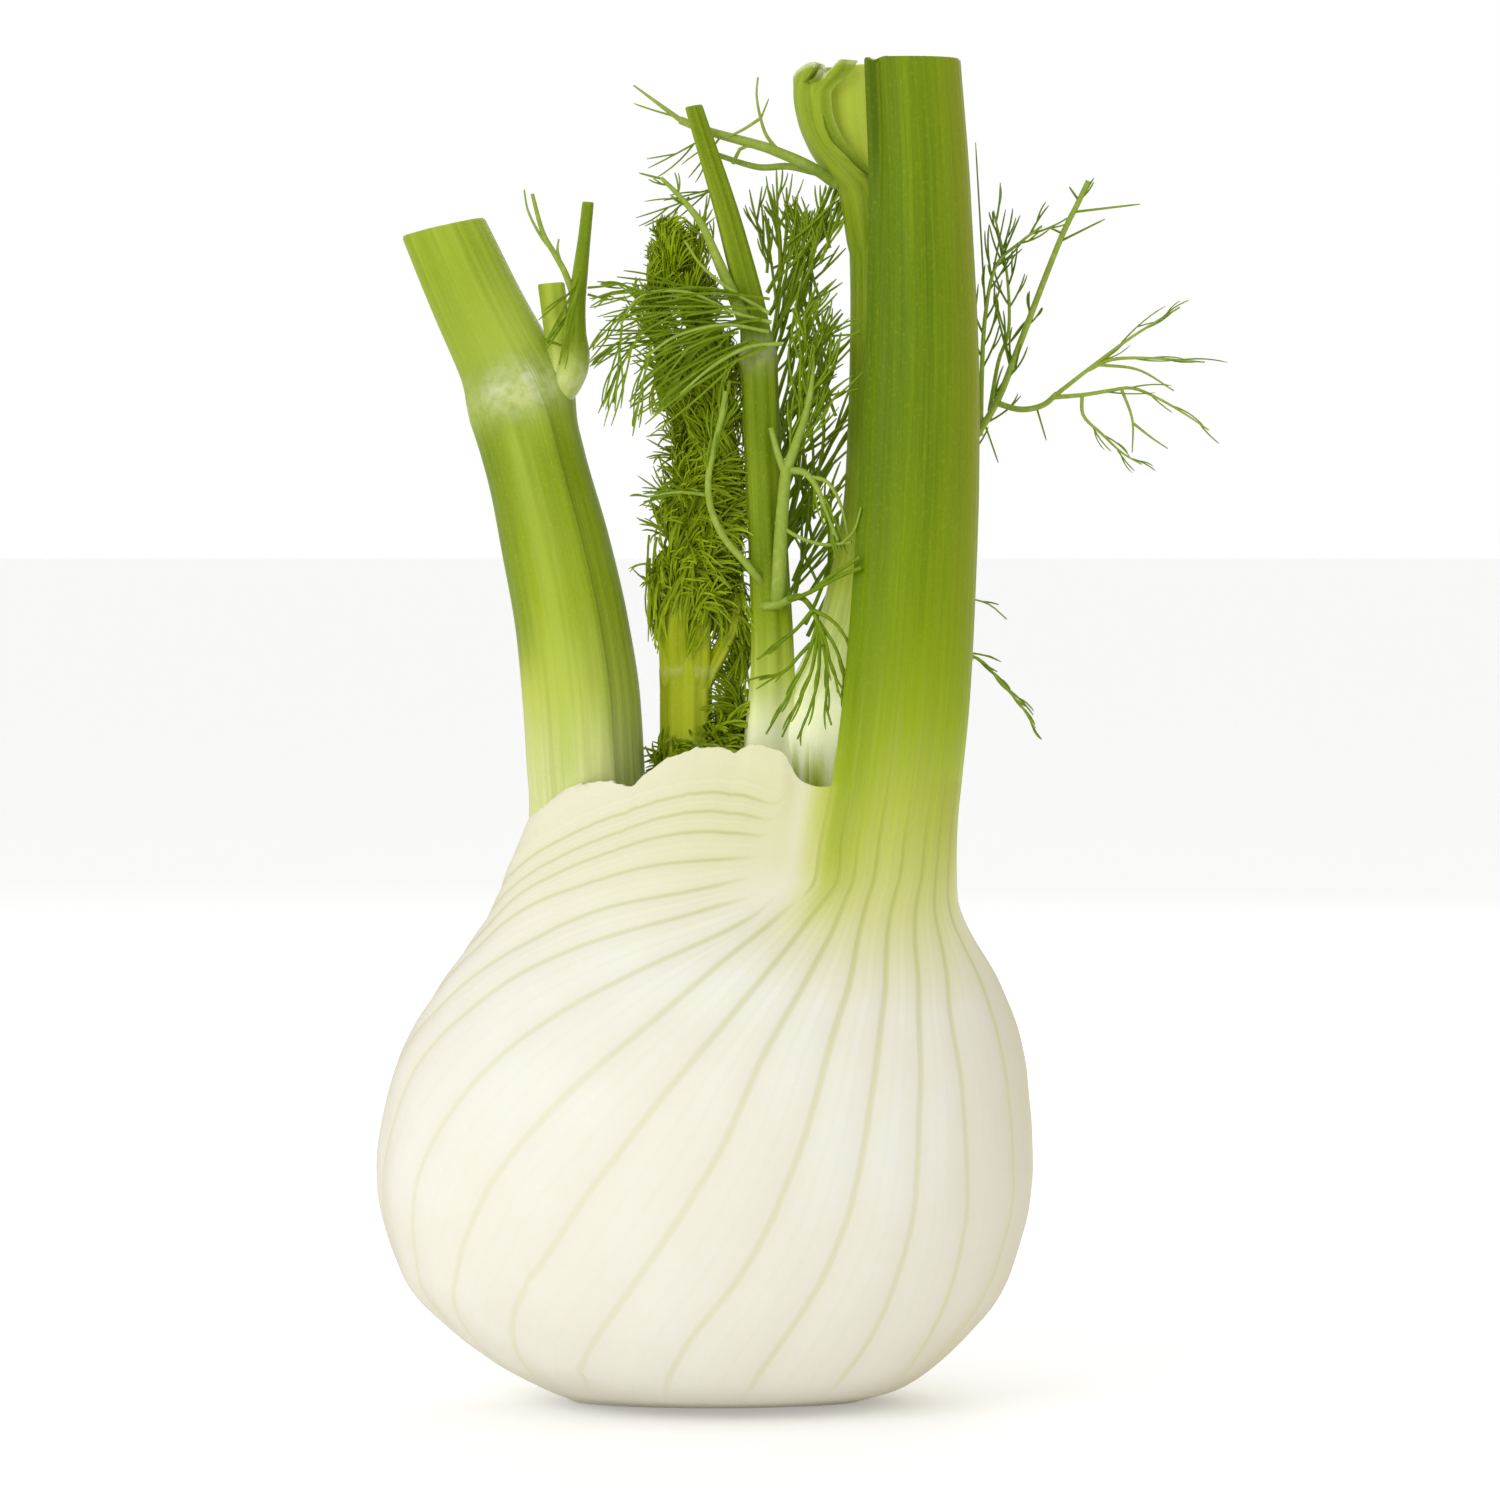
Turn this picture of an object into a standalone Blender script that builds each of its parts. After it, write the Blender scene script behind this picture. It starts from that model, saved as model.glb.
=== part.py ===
"""A trimmed fennel bulb standing on its cut root end.

Frame: +Z is up, the front of the bulb faces -Y and the tall stalk stands on the +X side.
The origin is on the flat cut face of the root plate. Sizes below are in millimetres and
angles in degrees; MM turns them into Blender's metres.

Each leaf is one piece: a thick leaf base that wraps the bulb and rolls up into its stalk.
Leaves are nested like the layers of an onion, with the oldest one outside.
"""

import math

import bmesh
import bpy
import numpy as np

MM = 0.001
LAYER_GAP = 1.5  # between one leaf base and the next one inside it
TOUCH_GAP = 0.35  # between a spray of foliage and the stalk that it grows from

# The bulb's outer skin at each height: height, centre x, half width, half depth.
BULB = (
    (0.0, 2.0, 20.0, 17.5),
    (2.5, 3.2, 27.0, 24.0),
    (8.5, 1.6, 36.6, 31.0),
    (20.0, 0.0, 46.4, 38.0),
    (35.0, 0.0, 50.0, 41.0),
    (50.0, 0.8, 47.8, 38.5),
    (63.0, 2.3, 42.4, 32.0),
    (76.0, 3.3, 35.3, 25.0),
    (89.0, 5.8, 32.3, 18.0),
    (101.0, 6.5, 28.0, 13.0),
)

# A leaf base is thin at its free edge and thick in the middle.
EDGE_WALL = 1.4
EDGE_RAMP_ANGLE = 35.0
EDGE_RAMP_HEIGHT = 20.0
ROOT_WALL_SHARE = 0.45  # leaf bases thin towards the root plate
ROOT_WALL_HEIGHT = 20.0

# How the leaf base's veins, and with them the mesh columns, gather into the stalk.
GATHER_LIMIT = 96.0
GATHER_RATE = 100.0
BELLY = 35.0

# Rows up a leaf base as shares of its height, closer together near the root.
BASE_ROWS = (0.0, 0.03, 0.08, 0.15, 0.24, 0.34, 0.44, 0.54, 0.64, 0.73, 0.82, 0.91, 1.0)

# Each leaf: the direction of its midrib, which way its front side turns, how far the base
# wraps, where the stalk's two edges lie on the belly and on the stalk, the height where the
# stalk leaves the base, the free edge's height by turn from the midrib, the full wall, and
# the stalk's sections: height, x, y, half width, half depth, lean to the left.
OUTER_LEAF = {
    "midrib": 0.0,
    "turn": -1.0,
    "wrap": (-112.0, 203.0),
    "belly_edges": (-63.0, 123.0),
    "stalk_edges": (80.0, -150.0),
    "gather": (66.0, 94.0),
    "wall": 5.0,
    "free_edge": (
        (-112.0, 60.0), (-95.0, 66.0), (-75.0, 73.0), (-60.0, 81.0), (-45.0, 94.0),
        (68.0, 94.0), (79.0, 98.0), (90.0, 99.6), (104.0, 99.0), (120.0, 95.0),
        (135.0, 94.5), (155.0, 92.0), (180.0, 88.0), (192.0, 82.0), (203.0, 70.0),
    ),
    "stalk": (
        (66.0, 25.5, -8.5, 14.0, 12.0, 0.0),
        (79.0, 26.7, -9.0, 11.6, 9.8, 0.0),
        (94.0, 28.8, -9.0, 9.8, 8.3, 0.0),
        (106.0, 30.1, -8.5, 9.6, 8.0, 0.0),
        (122.0, 31.3, -7.5, 9.3, 7.6, 0.0),
        (140.0, 32.2, -6.5, 9.0, 7.2, 0.0),
        (160.0, 32.6, -5.5, 8.5, 6.8, 0.0),
        (182.0, 32.1, -4.5, 7.8, 6.2, 0.0),
        (203.0, 31.0, -4.0, 7.2, 5.8, 0.0),
    ),
    "columns": (6, 12, 14),
}
LEFT_LEAF = {
    "midrib": 180.0,
    "turn": 1.0,
    "wrap": (-150.0, 160.0),
    "belly_edges": (-90.0, 90.0),
    "stalk_edges": (110.0, -110.0),
    "gather": (56.0, 91.0),
    "wall": 4.0,
    "free_edge": (
        (-150.0, 46.0), (-130.0, 54.0), (-105.0, 63.0), (-80.0, 74.0), (-57.0, 91.0),
        (57.0, 91.0), (75.0, 86.0), (100.0, 79.0), (125.0, 70.0), (145.0, 60.0), (160.0, 50.0),
    ),
    "stalk": (
        (56.0, -20.0, 0.0, 18.0, 18.0, 0.0),
        (72.0, -17.0, 0.0, 12.6, 13.0, 0.0),
        (91.0, -15.5, 0.0, 8.6, 7.8, 0.0),
        (97.0, -16.9, 0.0, 9.6, 8.0, 0.0),
        (106.5, -17.6, 0.2, 10.0, 8.2, 2.0),
        (118.0, -19.1, 0.4, 9.6, 8.0, 6.0),
        (130.0, -21.6, 0.6, 9.2, 7.7, 10.0),
        (142.0, -24.6, 0.8, 8.6, 7.2, 12.0),
        (150.0, -26.8, 1.0, 8.4, 7.0, 14.0),
        (155.0, -28.6, 1.0, 7.9, 6.6, 20.0),
        (166.0, -34.2, 1.0, 6.8, 5.8, 22.0),
        (178.0, -39.6, 1.0, 6.4, 5.4, 13.0),
    ),
    "columns": (9, 12, 10),
}
INNER_LEAF = {
    "midrib": 18.0,
    "turn": -1.0,
    "wrap": (-140.0, 150.0),
    "belly_edges": (-75.0, 75.0),
    "stalk_edges": (110.0, -110.0),
    "gather": (44.0, 82.0),
    "wall": 3.6,
    "free_edge": (
        (-140.0, 38.0), (-115.0, 48.0), (-90.0, 58.0), (-70.0, 67.0), (-50.0, 82.0),
        (50.0, 82.0), (70.0, 73.0), (95.0, 66.0), (125.0, 54.0), (150.0, 40.0),
    ),
    "stalk": (
        (44.0, 17.0, 4.0, 13.0, 10.0, 0.0),
        (66.0, 16.0, 5.0, 8.5, 6.0, 0.0),
        (82.0, 16.4, 5.2, 7.0, 4.6, 0.0),
        (97.0, 17.0, 5.6, 6.6, 4.4, 0.0),
        (108.0, 18.6, 5.8, 5.9, 4.2, 0.0),
        (122.0, 22.4, 6.0, 5.0, 4.0, 0.0),
        (140.0, 24.8, 6.2, 4.1, 3.8, 0.0),
        (167.0, 25.8, 6.0, 4.0, 3.6, 0.0),
        (184.0, 25.0, 5.6, 4.0, 3.6, 0.0),
        (189.0, 22.4, 5.2, 6.2, 4.4, 0.0),
        (196.0, 20.8, 5.0, 7.2, 4.8, 0.0),
        (202.0, 20.4, 5.0, 7.0, 4.6, 4.0),
    ),
    "columns": (8, 9, 8),
}
LEAVES = (OUTER_LEAF, LEFT_LEAF, INNER_LEAF)

# Solid pieces that are turned or lofted, as height, x, y, half width, half depth, lean.
ROOT_PLATE = (
    (0.0, 2.0, 0.0, 9.6, 7.4, 0.0),
    (2.5, 3.2, 0.0, 15.0, 12.0, 0.0),
    (9.0, 1.5, 0.0, 18.0, 14.0, 0.0),
    (20.0, 0.0, 0.0, 13.0, 11.0, 0.0),
    (30.0, 0.0, 0.0, 7.0, 6.0, 0.0),
)
CENTRE_STALK = (
    (30.8, 9.0, -1.0, 7.0, 9.0, 0.0),
    (48.0, 9.5, -1.5, 7.0, 8.0, 0.0),
    (64.0, 9.0, -4.0, 5.0, 5.0, 0.0),
    (80.0, 8.2, -5.0, 4.4, 4.0, 0.0),
    (98.0, 10.0, -4.0, 4.2, 3.3, 0.0),
    (112.0, 10.2, -2.6, 3.2, 2.9, 0.0),
    (128.0, 9.6, -2.0, 2.9, 2.7, 0.0),
    (144.0, 8.7, -2.0, 2.7, 2.5, 2.0),
    (157.0, 8.1, -2.0, 2.7, 2.5, 5.0),
    (162.0, 7.6, -2.0, 2.2, 2.0, 14.0),
    (176.0, 4.4, -2.4, 1.8, 1.7, 16.0),
    (196.0, -1.7, -3.0, 1.2, 1.2, 10.0),
)
HEART_SHOOT = (
    (30.8, -10.0, 0.0, 7.5, 9.0, 0.0),
    (48.0, -10.0, 0.0, 7.5, 8.5, 0.0),
    (66.0, -6.0, 0.5, 5.0, 6.5, 0.0),
    (82.0, -3.0, 1.0, 4.0, 4.6, 0.0),
    (97.0, -2.7, 1.0, 3.9, 3.6, 0.0),
    (108.0, -2.7, 1.0, 3.9, 3.5, 0.0),
    (117.0, -2.4, 1.2, 3.4, 3.0, 0.0),
)

# Dense foliage as soft closed forms: height, x, y, half width, half depth, lean.
HEART_PLUME = (
    (118.2, -1.8, 1.6, 3.6, 3.4, 0.0),
    (126.0, -2.0, 2.0, 6.6, 6.0, 0.0),
    (136.0, -0.6, 2.4, 5.8, 5.6, 0.0),
    (146.0, 0.6, 2.8, 4.2, 4.2, 0.0),
    (156.0, -1.6, 2.6, 6.0, 5.6, 0.0),
    (168.0, -4.0, 2.2, 8.2, 6.6, 0.0),
    (175.0, -3.6, 2.0, 6.2, 5.0, 0.0),
    (178.0, -3.0, 2.0, 2.6, 2.2, 0.0),
)
LOW_TUFT = (
    (99.0, 2.6, 7.4, 1.5, 1.4, 0.0),
    (103.0, 4.2, 7.2, 3.8, 3.2, 0.0),
    (109.0, 4.8, 6.8, 3.4, 3.0, 0.0),
    (115.0, 5.6, 6.4, 1.2, 1.2, 0.0),
)

# Thin stems: each is a route of x, y, z points and its radius at the first and last one.
LEFT_SIDE_SHOOT = (
    (((-18.1, -2.4, 152.0), (-18.0, -2.4, 156.5), (-18.9, -2.4, 161.0)), 2.1, 2.3),
    (((-18.9, -2.4, 158.0), (-21.0, -2.4, 163.0), (-23.3, -2.4, 169.6)), 1.5, 1.9),
    (((-18.4, -2.4, 158.0), (-19.2, -2.4, 168.6), (-17.9, -2.4, 175.0), (-17.2, -2.4, 181.6)), 1.2, 0.8),
    (((-19.0, -2.4, 170.0), (-22.4, -2.6, 173.4), (-25.2, -2.8, 177.4), (-26.8, -3.0, 182.6)), 0.7, 0.4),
)
POCKET_FROND = (
    (((17.6, 0.2, 187.0), (14.4, -0.4, 188.4), (8.3, -0.2, 190.4), (0.8, 1.2, 192.2),
      (-3.8, 1.6, 194.1), (-10.6, 1.0, 199.0)), 0.9, 0.45),
    (((14.4, -0.4, 188.4), (8.6, 1.8, 187.4), (2.0, 2.8, 188.4), (-4.2, 2.8, 190.4)), 0.6, 0.4),
    (((8.3, -0.2, 190.4), (5.4, 1.4, 195.4), (3.8, 2.4, 201.0)), 0.5, 0.35),
    (((14.4, -0.4, 188.4), (13.4, 3.6, 181.0), (12.2, 6.6, 170.0), (13.4, 8.0, 158.0)), 0.6, 0.4),
)
CENTRE_FROND = (
    (((11.4, -5.9, 122.5), (12.0, -6.2, 131.0), (12.2, -6.0, 141.0), (15.0, -6.4, 149.4),
      (17.0, -6.8, 155.4)), 1.0, 0.5),
    (((12.2, -6.0, 141.0), (16.6, -7.4, 139.0), (19.4, -9.0, 131.0), (20.2, -10.6, 124.0)), 0.6, 0.4),
    (((15.0, -6.4, 149.4), (14.0, -5.6, 156.0), (11.8, -5.4, 162.0)), 0.5, 0.35),
)
LEFT_SPRAY = (
    (((6.9, -5.6, 161.0), (1.0, -6.8, 161.6), (-6.0, -7.6, 163.0), (-13.6, -8.0, 161.0),
      (-16.6, -8.2, 157.0)), 0.8, 0.4),
    (((1.0, -6.8, 161.6), (-4.6, -8.2, 158.6), (-11.0, -9.2, 154.0), (-13.2, -9.6, 148.6)), 0.5, 0.35),
    (((-6.0, -7.6, 163.0), (-11.6, -8.0, 166.8), (-17.4, -8.2, 168.2)), 0.5, 0.35),
)
LOW_SPRAY = (
    (((13.3, -6.0, 119.8), (16.2, -7.6, 119.0), (17.4, -9.6, 114.4), (18.8, -12.4, 109.6)), 0.6, 0.4),
    (((16.2, -7.6, 119.0), (13.6, -8.4, 113.0), (9.8, -8.6, 107.0)), 0.5, 0.35),
    (((17.4, -9.6, 114.4), (16.2, -10.8, 108.0), (13.6, -11.6, 102.4)), 0.5, 0.35),
)
BACK_FROND = (
    (((26.4, 11.4, 119.0), (33.0, 11.2, 132.0), (39.6, 10.0, 143.0), (44.4, 9.0, 151.6),
      (47.4, 9.0, 158.8), (51.2, 9.0, 169.5), (54.5, 9.0, 178.6), (58.3, 9.0, 185.5)), 1.0, 0.6),
    (((44.4, 9.0, 151.6), (50.5, 7.0, 151.4), (57.6, 5.6, 152.9), (64.7, 4.4, 153.6),
      (71.0, 3.6, 151.0), (77.0, 3.0, 147.6)), 0.7, 0.4),
    (((53.5, 6.4, 152.2), (58.9, 8.0, 157.1), (66.0, 8.6, 158.6), (75.0, 9.0, 158.2)), 0.5, 0.35),
    (((58.9, 8.0, 157.1), (65.8, 10.0, 162.1), (72.4, 12.0, 165.8)), 0.5, 0.35),
    (((57.6, 5.6, 152.9), (58.6, 3.6, 147.6), (61.7, 2.6, 144.2), (66.2, 2.0, 142.0)), 0.5, 0.35),
    (((42.3, 9.6, 147.8), (43.0, 12.0, 160.0), (43.8, 12.6, 173.0), (41.2, 13.0, 189.0)), 0.6, 0.35),
)
BACK_WISPS = (
    (((30.0, 5.6, 116.0), (36.6, 6.4, 116.0), (42.0, 5.6, 110.6), (47.6, 4.6, 105.4), (50.4, 4.0, 102.6)), 0.6, 0.4),
    (((36.6, 6.4, 116.0), (41.0, 7.6, 116.6), (45.0, 8.0, 113.6), (46.8, 8.0, 109.6)), 0.5, 0.35),
)

COLOURS = {
    "leaf_base": (0.86, 0.87, 0.72),
    "stalk_green": (0.36, 0.50, 0.10),
    "heart_green": (0.55, 0.66, 0.12),
    "foliage": (0.16, 0.30, 0.04),
    "cut_root": (0.62, 0.52, 0.36),
}


def smooth_keys(keys, column, at):
    """Reads one column of a table at any first-column value, along a monotone cubic curve."""
    table = np.array(keys, float)
    x = table[:, 0]
    y = table[:, column]
    step = np.diff(x)
    slope = np.diff(y) / step
    tangent = np.zeros(len(x))
    for k in range(1, len(x) - 1):
        if slope[k - 1] * slope[k] > 0:
            near = 2 * step[k] + step[k - 1]
            far = step[k] + 2 * step[k - 1]
            tangent[k] = (near + far) / (near / slope[k - 1] + far / slope[k])
    tangent[0] = slope[0]
    tangent[-1] = slope[-1]
    at = min(max(at, x[0]), x[-1])
    k = min(int(np.searchsorted(x, at, side="right")) - 1, len(step) - 1)
    t = (at - x[k]) / step[k]
    return (
        y[k] * (1 + 2 * t) * (1 - t) ** 2
        + tangent[k] * step[k] * t * (1 - t) ** 2
        + y[k + 1] * t * t * (3 - 2 * t)
        + tangent[k + 1] * step[k] * t * t * (t - 1)
    )


def ease(t):
    """Smooth step from 0 to 1."""
    t = min(max(t, 0.0), 1.0)
    return t * t * (3 - 2 * t)


def mix(first, second, share):
    return first + (second - first) * share


def skin_point(angle, height, depth):
    """A point this far inside the bulb's skin, in the world direction of this angle."""
    turn = math.radians(angle)
    half_width = smooth_keys(BULB, 2, height) - depth
    half_depth = smooth_keys(BULB, 3, height) - depth
    x = smooth_keys(BULB, 1, height) + half_width * math.cos(turn)
    return np.array((x, half_depth * math.sin(turn), height))


def gathered_turn(belly_turn, height, gather_end):
    """The turn from the midrib, at this height, of the vein that crosses the belly at belly_turn."""
    size = abs(belly_turn)
    limit = GATHER_LIMIT * (1 - math.exp(-size / GATHER_RATE))
    rise = min(max((height - BELLY) / (gather_end - 14 - BELLY), 0.0), 1.0)
    return math.copysign(mix(limit, size, 1 - rise**1.4), belly_turn)


def free_edge_height(leaf, turn):
    keys = leaf["free_edge"]
    return smooth_keys(keys, 1, min(max(turn, keys[0][0]), keys[-1][0]))


def wall(leaf, turn, height):
    """The leaf base's thickness, from its free edge to its full wall."""
    first, last = leaf["wrap"]
    inside = min(
        (turn - first) / EDGE_RAMP_ANGLE,
        (last - turn) / EDGE_RAMP_ANGLE,
        (free_edge_height(leaf, turn) - height) / EDGE_RAMP_HEIGHT,
    )
    root = mix(ROOT_WALL_SHARE, 1.0, ease(height / ROOT_WALL_HEIGHT))
    return mix(EDGE_WALL, leaf["wall"] * root, ease(inside))


def turn_of(leaf, angle):
    """The turn from a leaf's midrib of a world angle, within the half turn around its wrap."""
    middle = sum(leaf["wrap"]) / 2
    turn = (angle - leaf["midrib"]) * leaf["turn"]
    return (turn - middle + 180) % 360 - 180 + middle


def layer_depth(index, angle, height):
    """How deep below the bulb's skin the outer face of a leaf lies: under every leaf before it."""
    depth = 0.0
    for leaf in LEAVES[:index]:
        depth += wall(leaf, turn_of(leaf, angle), height) + LAYER_GAP
    return depth


def section_point(sections, height, angle, scale=1.0):
    """A point on a stalk's oval section, which is tilted by its lean."""
    x, y, half_width, half_depth, lean = (smooth_keys(sections, k, height) for k in range(1, 6))
    turn = math.radians(angle)
    across = half_width * scale * math.cos(turn)
    tilt = math.radians(lean)
    return np.array((
        x + across * math.cos(tilt),
        y + half_depth * scale * math.sin(turn),
        height + across * math.sin(tilt),
    ))


def stalk_heights(leaf):
    """The heights of the stalk's own sections, above where it leaves the leaf base."""
    return [row[0] for row in leaf["stalk"] if row[0] > leaf["gather"][1]]


def leaf_sheets(index):
    """The leaf's outer and inner faces as columns of points, from its back edge to its front one."""
    leaf = LEAVES[index]
    back_count, stalk_count, front_count = leaf["columns"]
    gather_start, gather_end = leaf["gather"]
    back_belly, front_belly = leaf["belly_edges"]
    back_stalk, front_stalk = leaf["stalk_edges"]
    mirror = -leaf["turn"]
    inner_sweep = (back_stalk - 5.0, front_stalk + 365.0)

    def base_point(turn, height, inner):
        angle = leaf["midrib"] + leaf["turn"] * turn
        depth = layer_depth(index, angle, height)
        if inner:
            depth += wall(leaf, turn, height)
        return skin_point(angle, height, depth)

    def ring_point(share, height, inner):
        if inner:
            angle = mix(*inner_sweep, share)
            hollow = 0.94 - 0.16 * math.sin(math.pi * share)
        else:
            angle = mix(back_stalk, front_stalk, share)
            hollow = 1.0
        facing = leaf["midrib"] if leaf["turn"] < 0 else 180.0
        return section_point(leaf["stalk"], height, facing + mirror * angle, hollow)

    def stalk_column_point(share, height, inner):
        belly = mix(back_belly, front_belly, share)
        low = base_point(gathered_turn(belly, height, gather_end), height, inner)
        if height <= gather_start:
            return low
        rolled = ease((height - gather_start) / (gather_end - gather_start))
        return mix(low, ring_point(share, height, inner), rolled)

    def side_column_point(share, far_turn, near_share, height, inner):
        belly = mix(back_belly, front_belly, near_share)
        near_turn = gathered_turn(belly, height, gather_end)
        point = base_point(mix(near_turn, far_turn, share), height, inner)
        pull = max(0.0, 1 - share / 0.3) ** 2
        if height <= gather_start or pull == 0:
            return point
        edge = stalk_column_point(near_share, height, inner)
        return point + (edge - base_point(near_turn, height, inner)) * pull

    def side_columns(count, far_turn, near_share, inner):
        belly = mix(back_belly, front_belly, near_share)
        top_turn = gathered_turn(belly, gather_end, gather_end)
        columns = []
        for k in range(1, count + 1):
            share = k / count
            top = free_edge_height(leaf, mix(top_turn, far_turn, share))
            columns.append([
                side_column_point(share, far_turn, near_share, top * row, inner) for row in BASE_ROWS
            ])
        return columns

    sheets = []
    for inner in (False, True):
        back = side_columns(back_count, leaf["wrap"][0], 0.0, inner)[::-1]
        front = side_columns(front_count, leaf["wrap"][1], 1.0, inner)
        middle = []
        for k in range(stalk_count + 1):
            share = k / stalk_count
            column = [stalk_column_point(share, gather_end * row, inner) for row in BASE_ROWS]
            column += [ring_point(share, height, inner) for height in stalk_heights(leaf)]
            middle.append(column)
        sheets.append(back + middle + front)
    return sheets


def new_object(name, mesh, colour, collection):
    """Links a mesh as a named, smooth shaded object with its own material."""
    material = bpy.data.materials.new(name)
    material.use_nodes = True
    shader = material.node_tree.nodes["Principled BSDF"]
    shader.inputs["Base Color"].default_value = (*COLOURS[colour], 1.0)
    shader.inputs["Roughness"].default_value = 0.45
    shader.inputs["Metallic"].default_value = 0.0
    mesh.materials.append(material)
    mesh.shade_smooth()
    mesh.set_sharp_from_angle(angle=math.radians(50))
    made = bpy.data.objects.new(name, mesh)
    collection.objects.link(made)
    return made


def finish_mesh(name, work):
    """Turns a closed bmesh into mesh data whose faces all point out."""
    bmesh.ops.recalc_face_normals(work, faces=work.faces)
    if work.calc_volume(signed=True) < 0:
        bmesh.ops.reverse_faces(work, faces=work.faces)
    mesh = bpy.data.meshes.new(name)
    work.to_mesh(mesh)
    work.free()
    return mesh


def leaf_mesh(name, index):
    """A loft between unlike sections: two sheets of points joined all round their border.

    Both sheets are split along the same diagonals, the shorter ones, so they stay apart.
    """
    work = bmesh.new()
    sheets = [
        [[work.verts.new(point * MM) for point in column] for column in sheet]
        for sheet in leaf_sheets(index)
    ]
    outer, inner = sheets
    border = {}
    for columns in zip(outer, outer[1:], inner, inner[1:]):
        for row in range(min(len(column) for column in columns) - 1):
            rising = columns[0][row].co - columns[1][row + 1].co
            falling = columns[0][row + 1].co - columns[1][row].co
            for left, right in (columns[:2], columns[2:]):
                corners = (left[row], right[row], right[row + 1], left[row + 1])
                if rising.length > falling.length:
                    corners = corners[1:] + corners[:1]
                work.faces.new(corners[:3])
                work.faces.new((corners[0], corners[2], corners[3]))
    partner = {
        out: into for column, twin in zip(outer, inner) for out, into in zip(column, twin)
    }
    for edge in [e for e in work.edges if e.is_boundary]:
        if edge.verts[0] in partner and edge.verts[1] in partner:
            border[edge] = (partner[edge.verts[0]], partner[edge.verts[1]])
    for edge, (first, second) in border.items():
        work.faces.new((edge.verts[0], edge.verts[1], second, first))
    return finish_mesh(name, work)


def loft_mesh(name, sections, sides, steps=1):
    """A closed loft through oval sections, with flat ends. steps adds sections between them."""
    work = bmesh.new()
    heights = []
    for low, high in zip(sections, sections[1:]):
        heights += [mix(low[0], high[0], k / steps) for k in range(steps)]
    heights.append(sections[-1][0])
    rings = [
        [work.verts.new(section_point(sections, height, 360 * k / sides) * MM) for k in range(sides)]
        for height in heights
    ]
    for low, high in zip(rings, rings[1:]):
        for k in range(sides):
            work.faces.new((low[k - 1], low[k], high[k], high[k - 1]))
    work.faces.new(rings[0])
    work.faces.new(rings[-1])
    return finish_mesh(name, work)


def stem_object(name, route, first_radius, last_radius, collection):
    """One thin stem: a poly curve with a round bevel, made a mesh with welded caps."""
    curve = bpy.data.curves.new(name, "CURVE")
    curve.dimensions = "3D"
    curve.bevel_depth = MM
    curve.bevel_resolution = 1
    curve.use_fill_caps = True
    spline = curve.splines.new("POLY")
    spline.points.add(len(route) - 1)
    for k, place in enumerate(route):
        spline.points[k].co = (*(value * MM for value in place), 1.0)
        spline.points[k].radius = mix(first_radius, last_radius, k / (len(route) - 1))
    holder = bpy.data.objects.new(name + "_route", curve)
    collection.objects.link(holder)
    bpy.context.view_layer.update()
    graph = bpy.context.evaluated_depsgraph_get()
    mesh = bpy.data.meshes.new_from_object(holder.evaluated_get(graph))
    bpy.data.objects.remove(holder)
    work = bmesh.new()
    work.from_mesh(mesh)
    bmesh.ops.remove_doubles(work, verts=work.verts, dist=0.00002)
    bmesh.ops.recalc_face_normals(work, faces=work.faces)
    work.to_mesh(mesh)
    work.free()
    made = bpy.data.objects.new(name, mesh)
    collection.objects.link(made)
    return made


def branching_stem(name, stems, colour, parts, helpers):
    """Thin stems that grow from one another, joined into one solid by Boolean unions."""
    pieces = [
        stem_object(f"{name}_{k}", route, first, last, helpers)
        for k, (route, first, last) in enumerate(stems)
    ]
    trunk = pieces[0]
    for branch in pieces[1:]:
        join = trunk.modifiers.new("join_" + branch.name, "BOOLEAN")
        join.operation = "UNION"
        join.solver = "EXACT"
        join.object = branch
    bpy.context.view_layer.update()
    graph = bpy.context.evaluated_depsgraph_get()
    mesh = bpy.data.meshes.new_from_object(trunk.evaluated_get(graph))
    for piece in pieces:
        bpy.data.objects.remove(piece)
    mesh.name = name
    return new_object(name, mesh, colour, parts)


def clear_scene():
    for old in list(bpy.data.objects):
        bpy.data.objects.remove(old)


def build_fennel():
    clear_scene()
    parts = bpy.data.collections.new("fennel_bulb")
    helpers = bpy.data.collections.new("fennel_helpers")
    bpy.context.scene.collection.children.link(parts)
    bpy.context.scene.collection.children.link(helpers)

    leaves = (("outer_leaf", "leaf_base"), ("left_leaf", "stalk_green"), ("inner_leaf", "leaf_base"))
    for index, (name, colour) in enumerate(leaves):
        new_object(name, leaf_mesh(name, index), colour, parts)

    lofts = (
        ("root_plate", ROOT_PLATE, 20, 1, "cut_root"),
        ("centre_stalk", CENTRE_STALK, 10, 1, "stalk_green"),
        ("heart_shoot", HEART_SHOOT, 12, 1, "heart_green"),
        ("heart_plume", HEART_PLUME, 12, 1, "foliage"),
        ("low_tuft", LOW_TUFT, 10, 1, "foliage"),
    )
    for name, sections, sides, steps, colour in lofts:
        new_object(name, loft_mesh(name, sections, sides, steps), colour, parts)

    stems = (
        ("left_side_shoot", LEFT_SIDE_SHOOT, "stalk_green"),
        ("pocket_frond", POCKET_FROND, "foliage"),
        ("centre_frond", CENTRE_FROND, "foliage"),
        ("left_spray", LEFT_SPRAY, "foliage"),
        ("low_spray", LOW_SPRAY, "foliage"),
        ("back_frond", BACK_FROND, "foliage"),
        ("back_wisps", BACK_WISPS, "foliage"),
    )
    for name, routes, colour in stems:
        branching_stem(name, routes, colour, parts, helpers)


build_fennel()
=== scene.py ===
import math

import bmesh
import bpy
import numpy as np
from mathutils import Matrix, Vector, kdtree, noise


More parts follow.
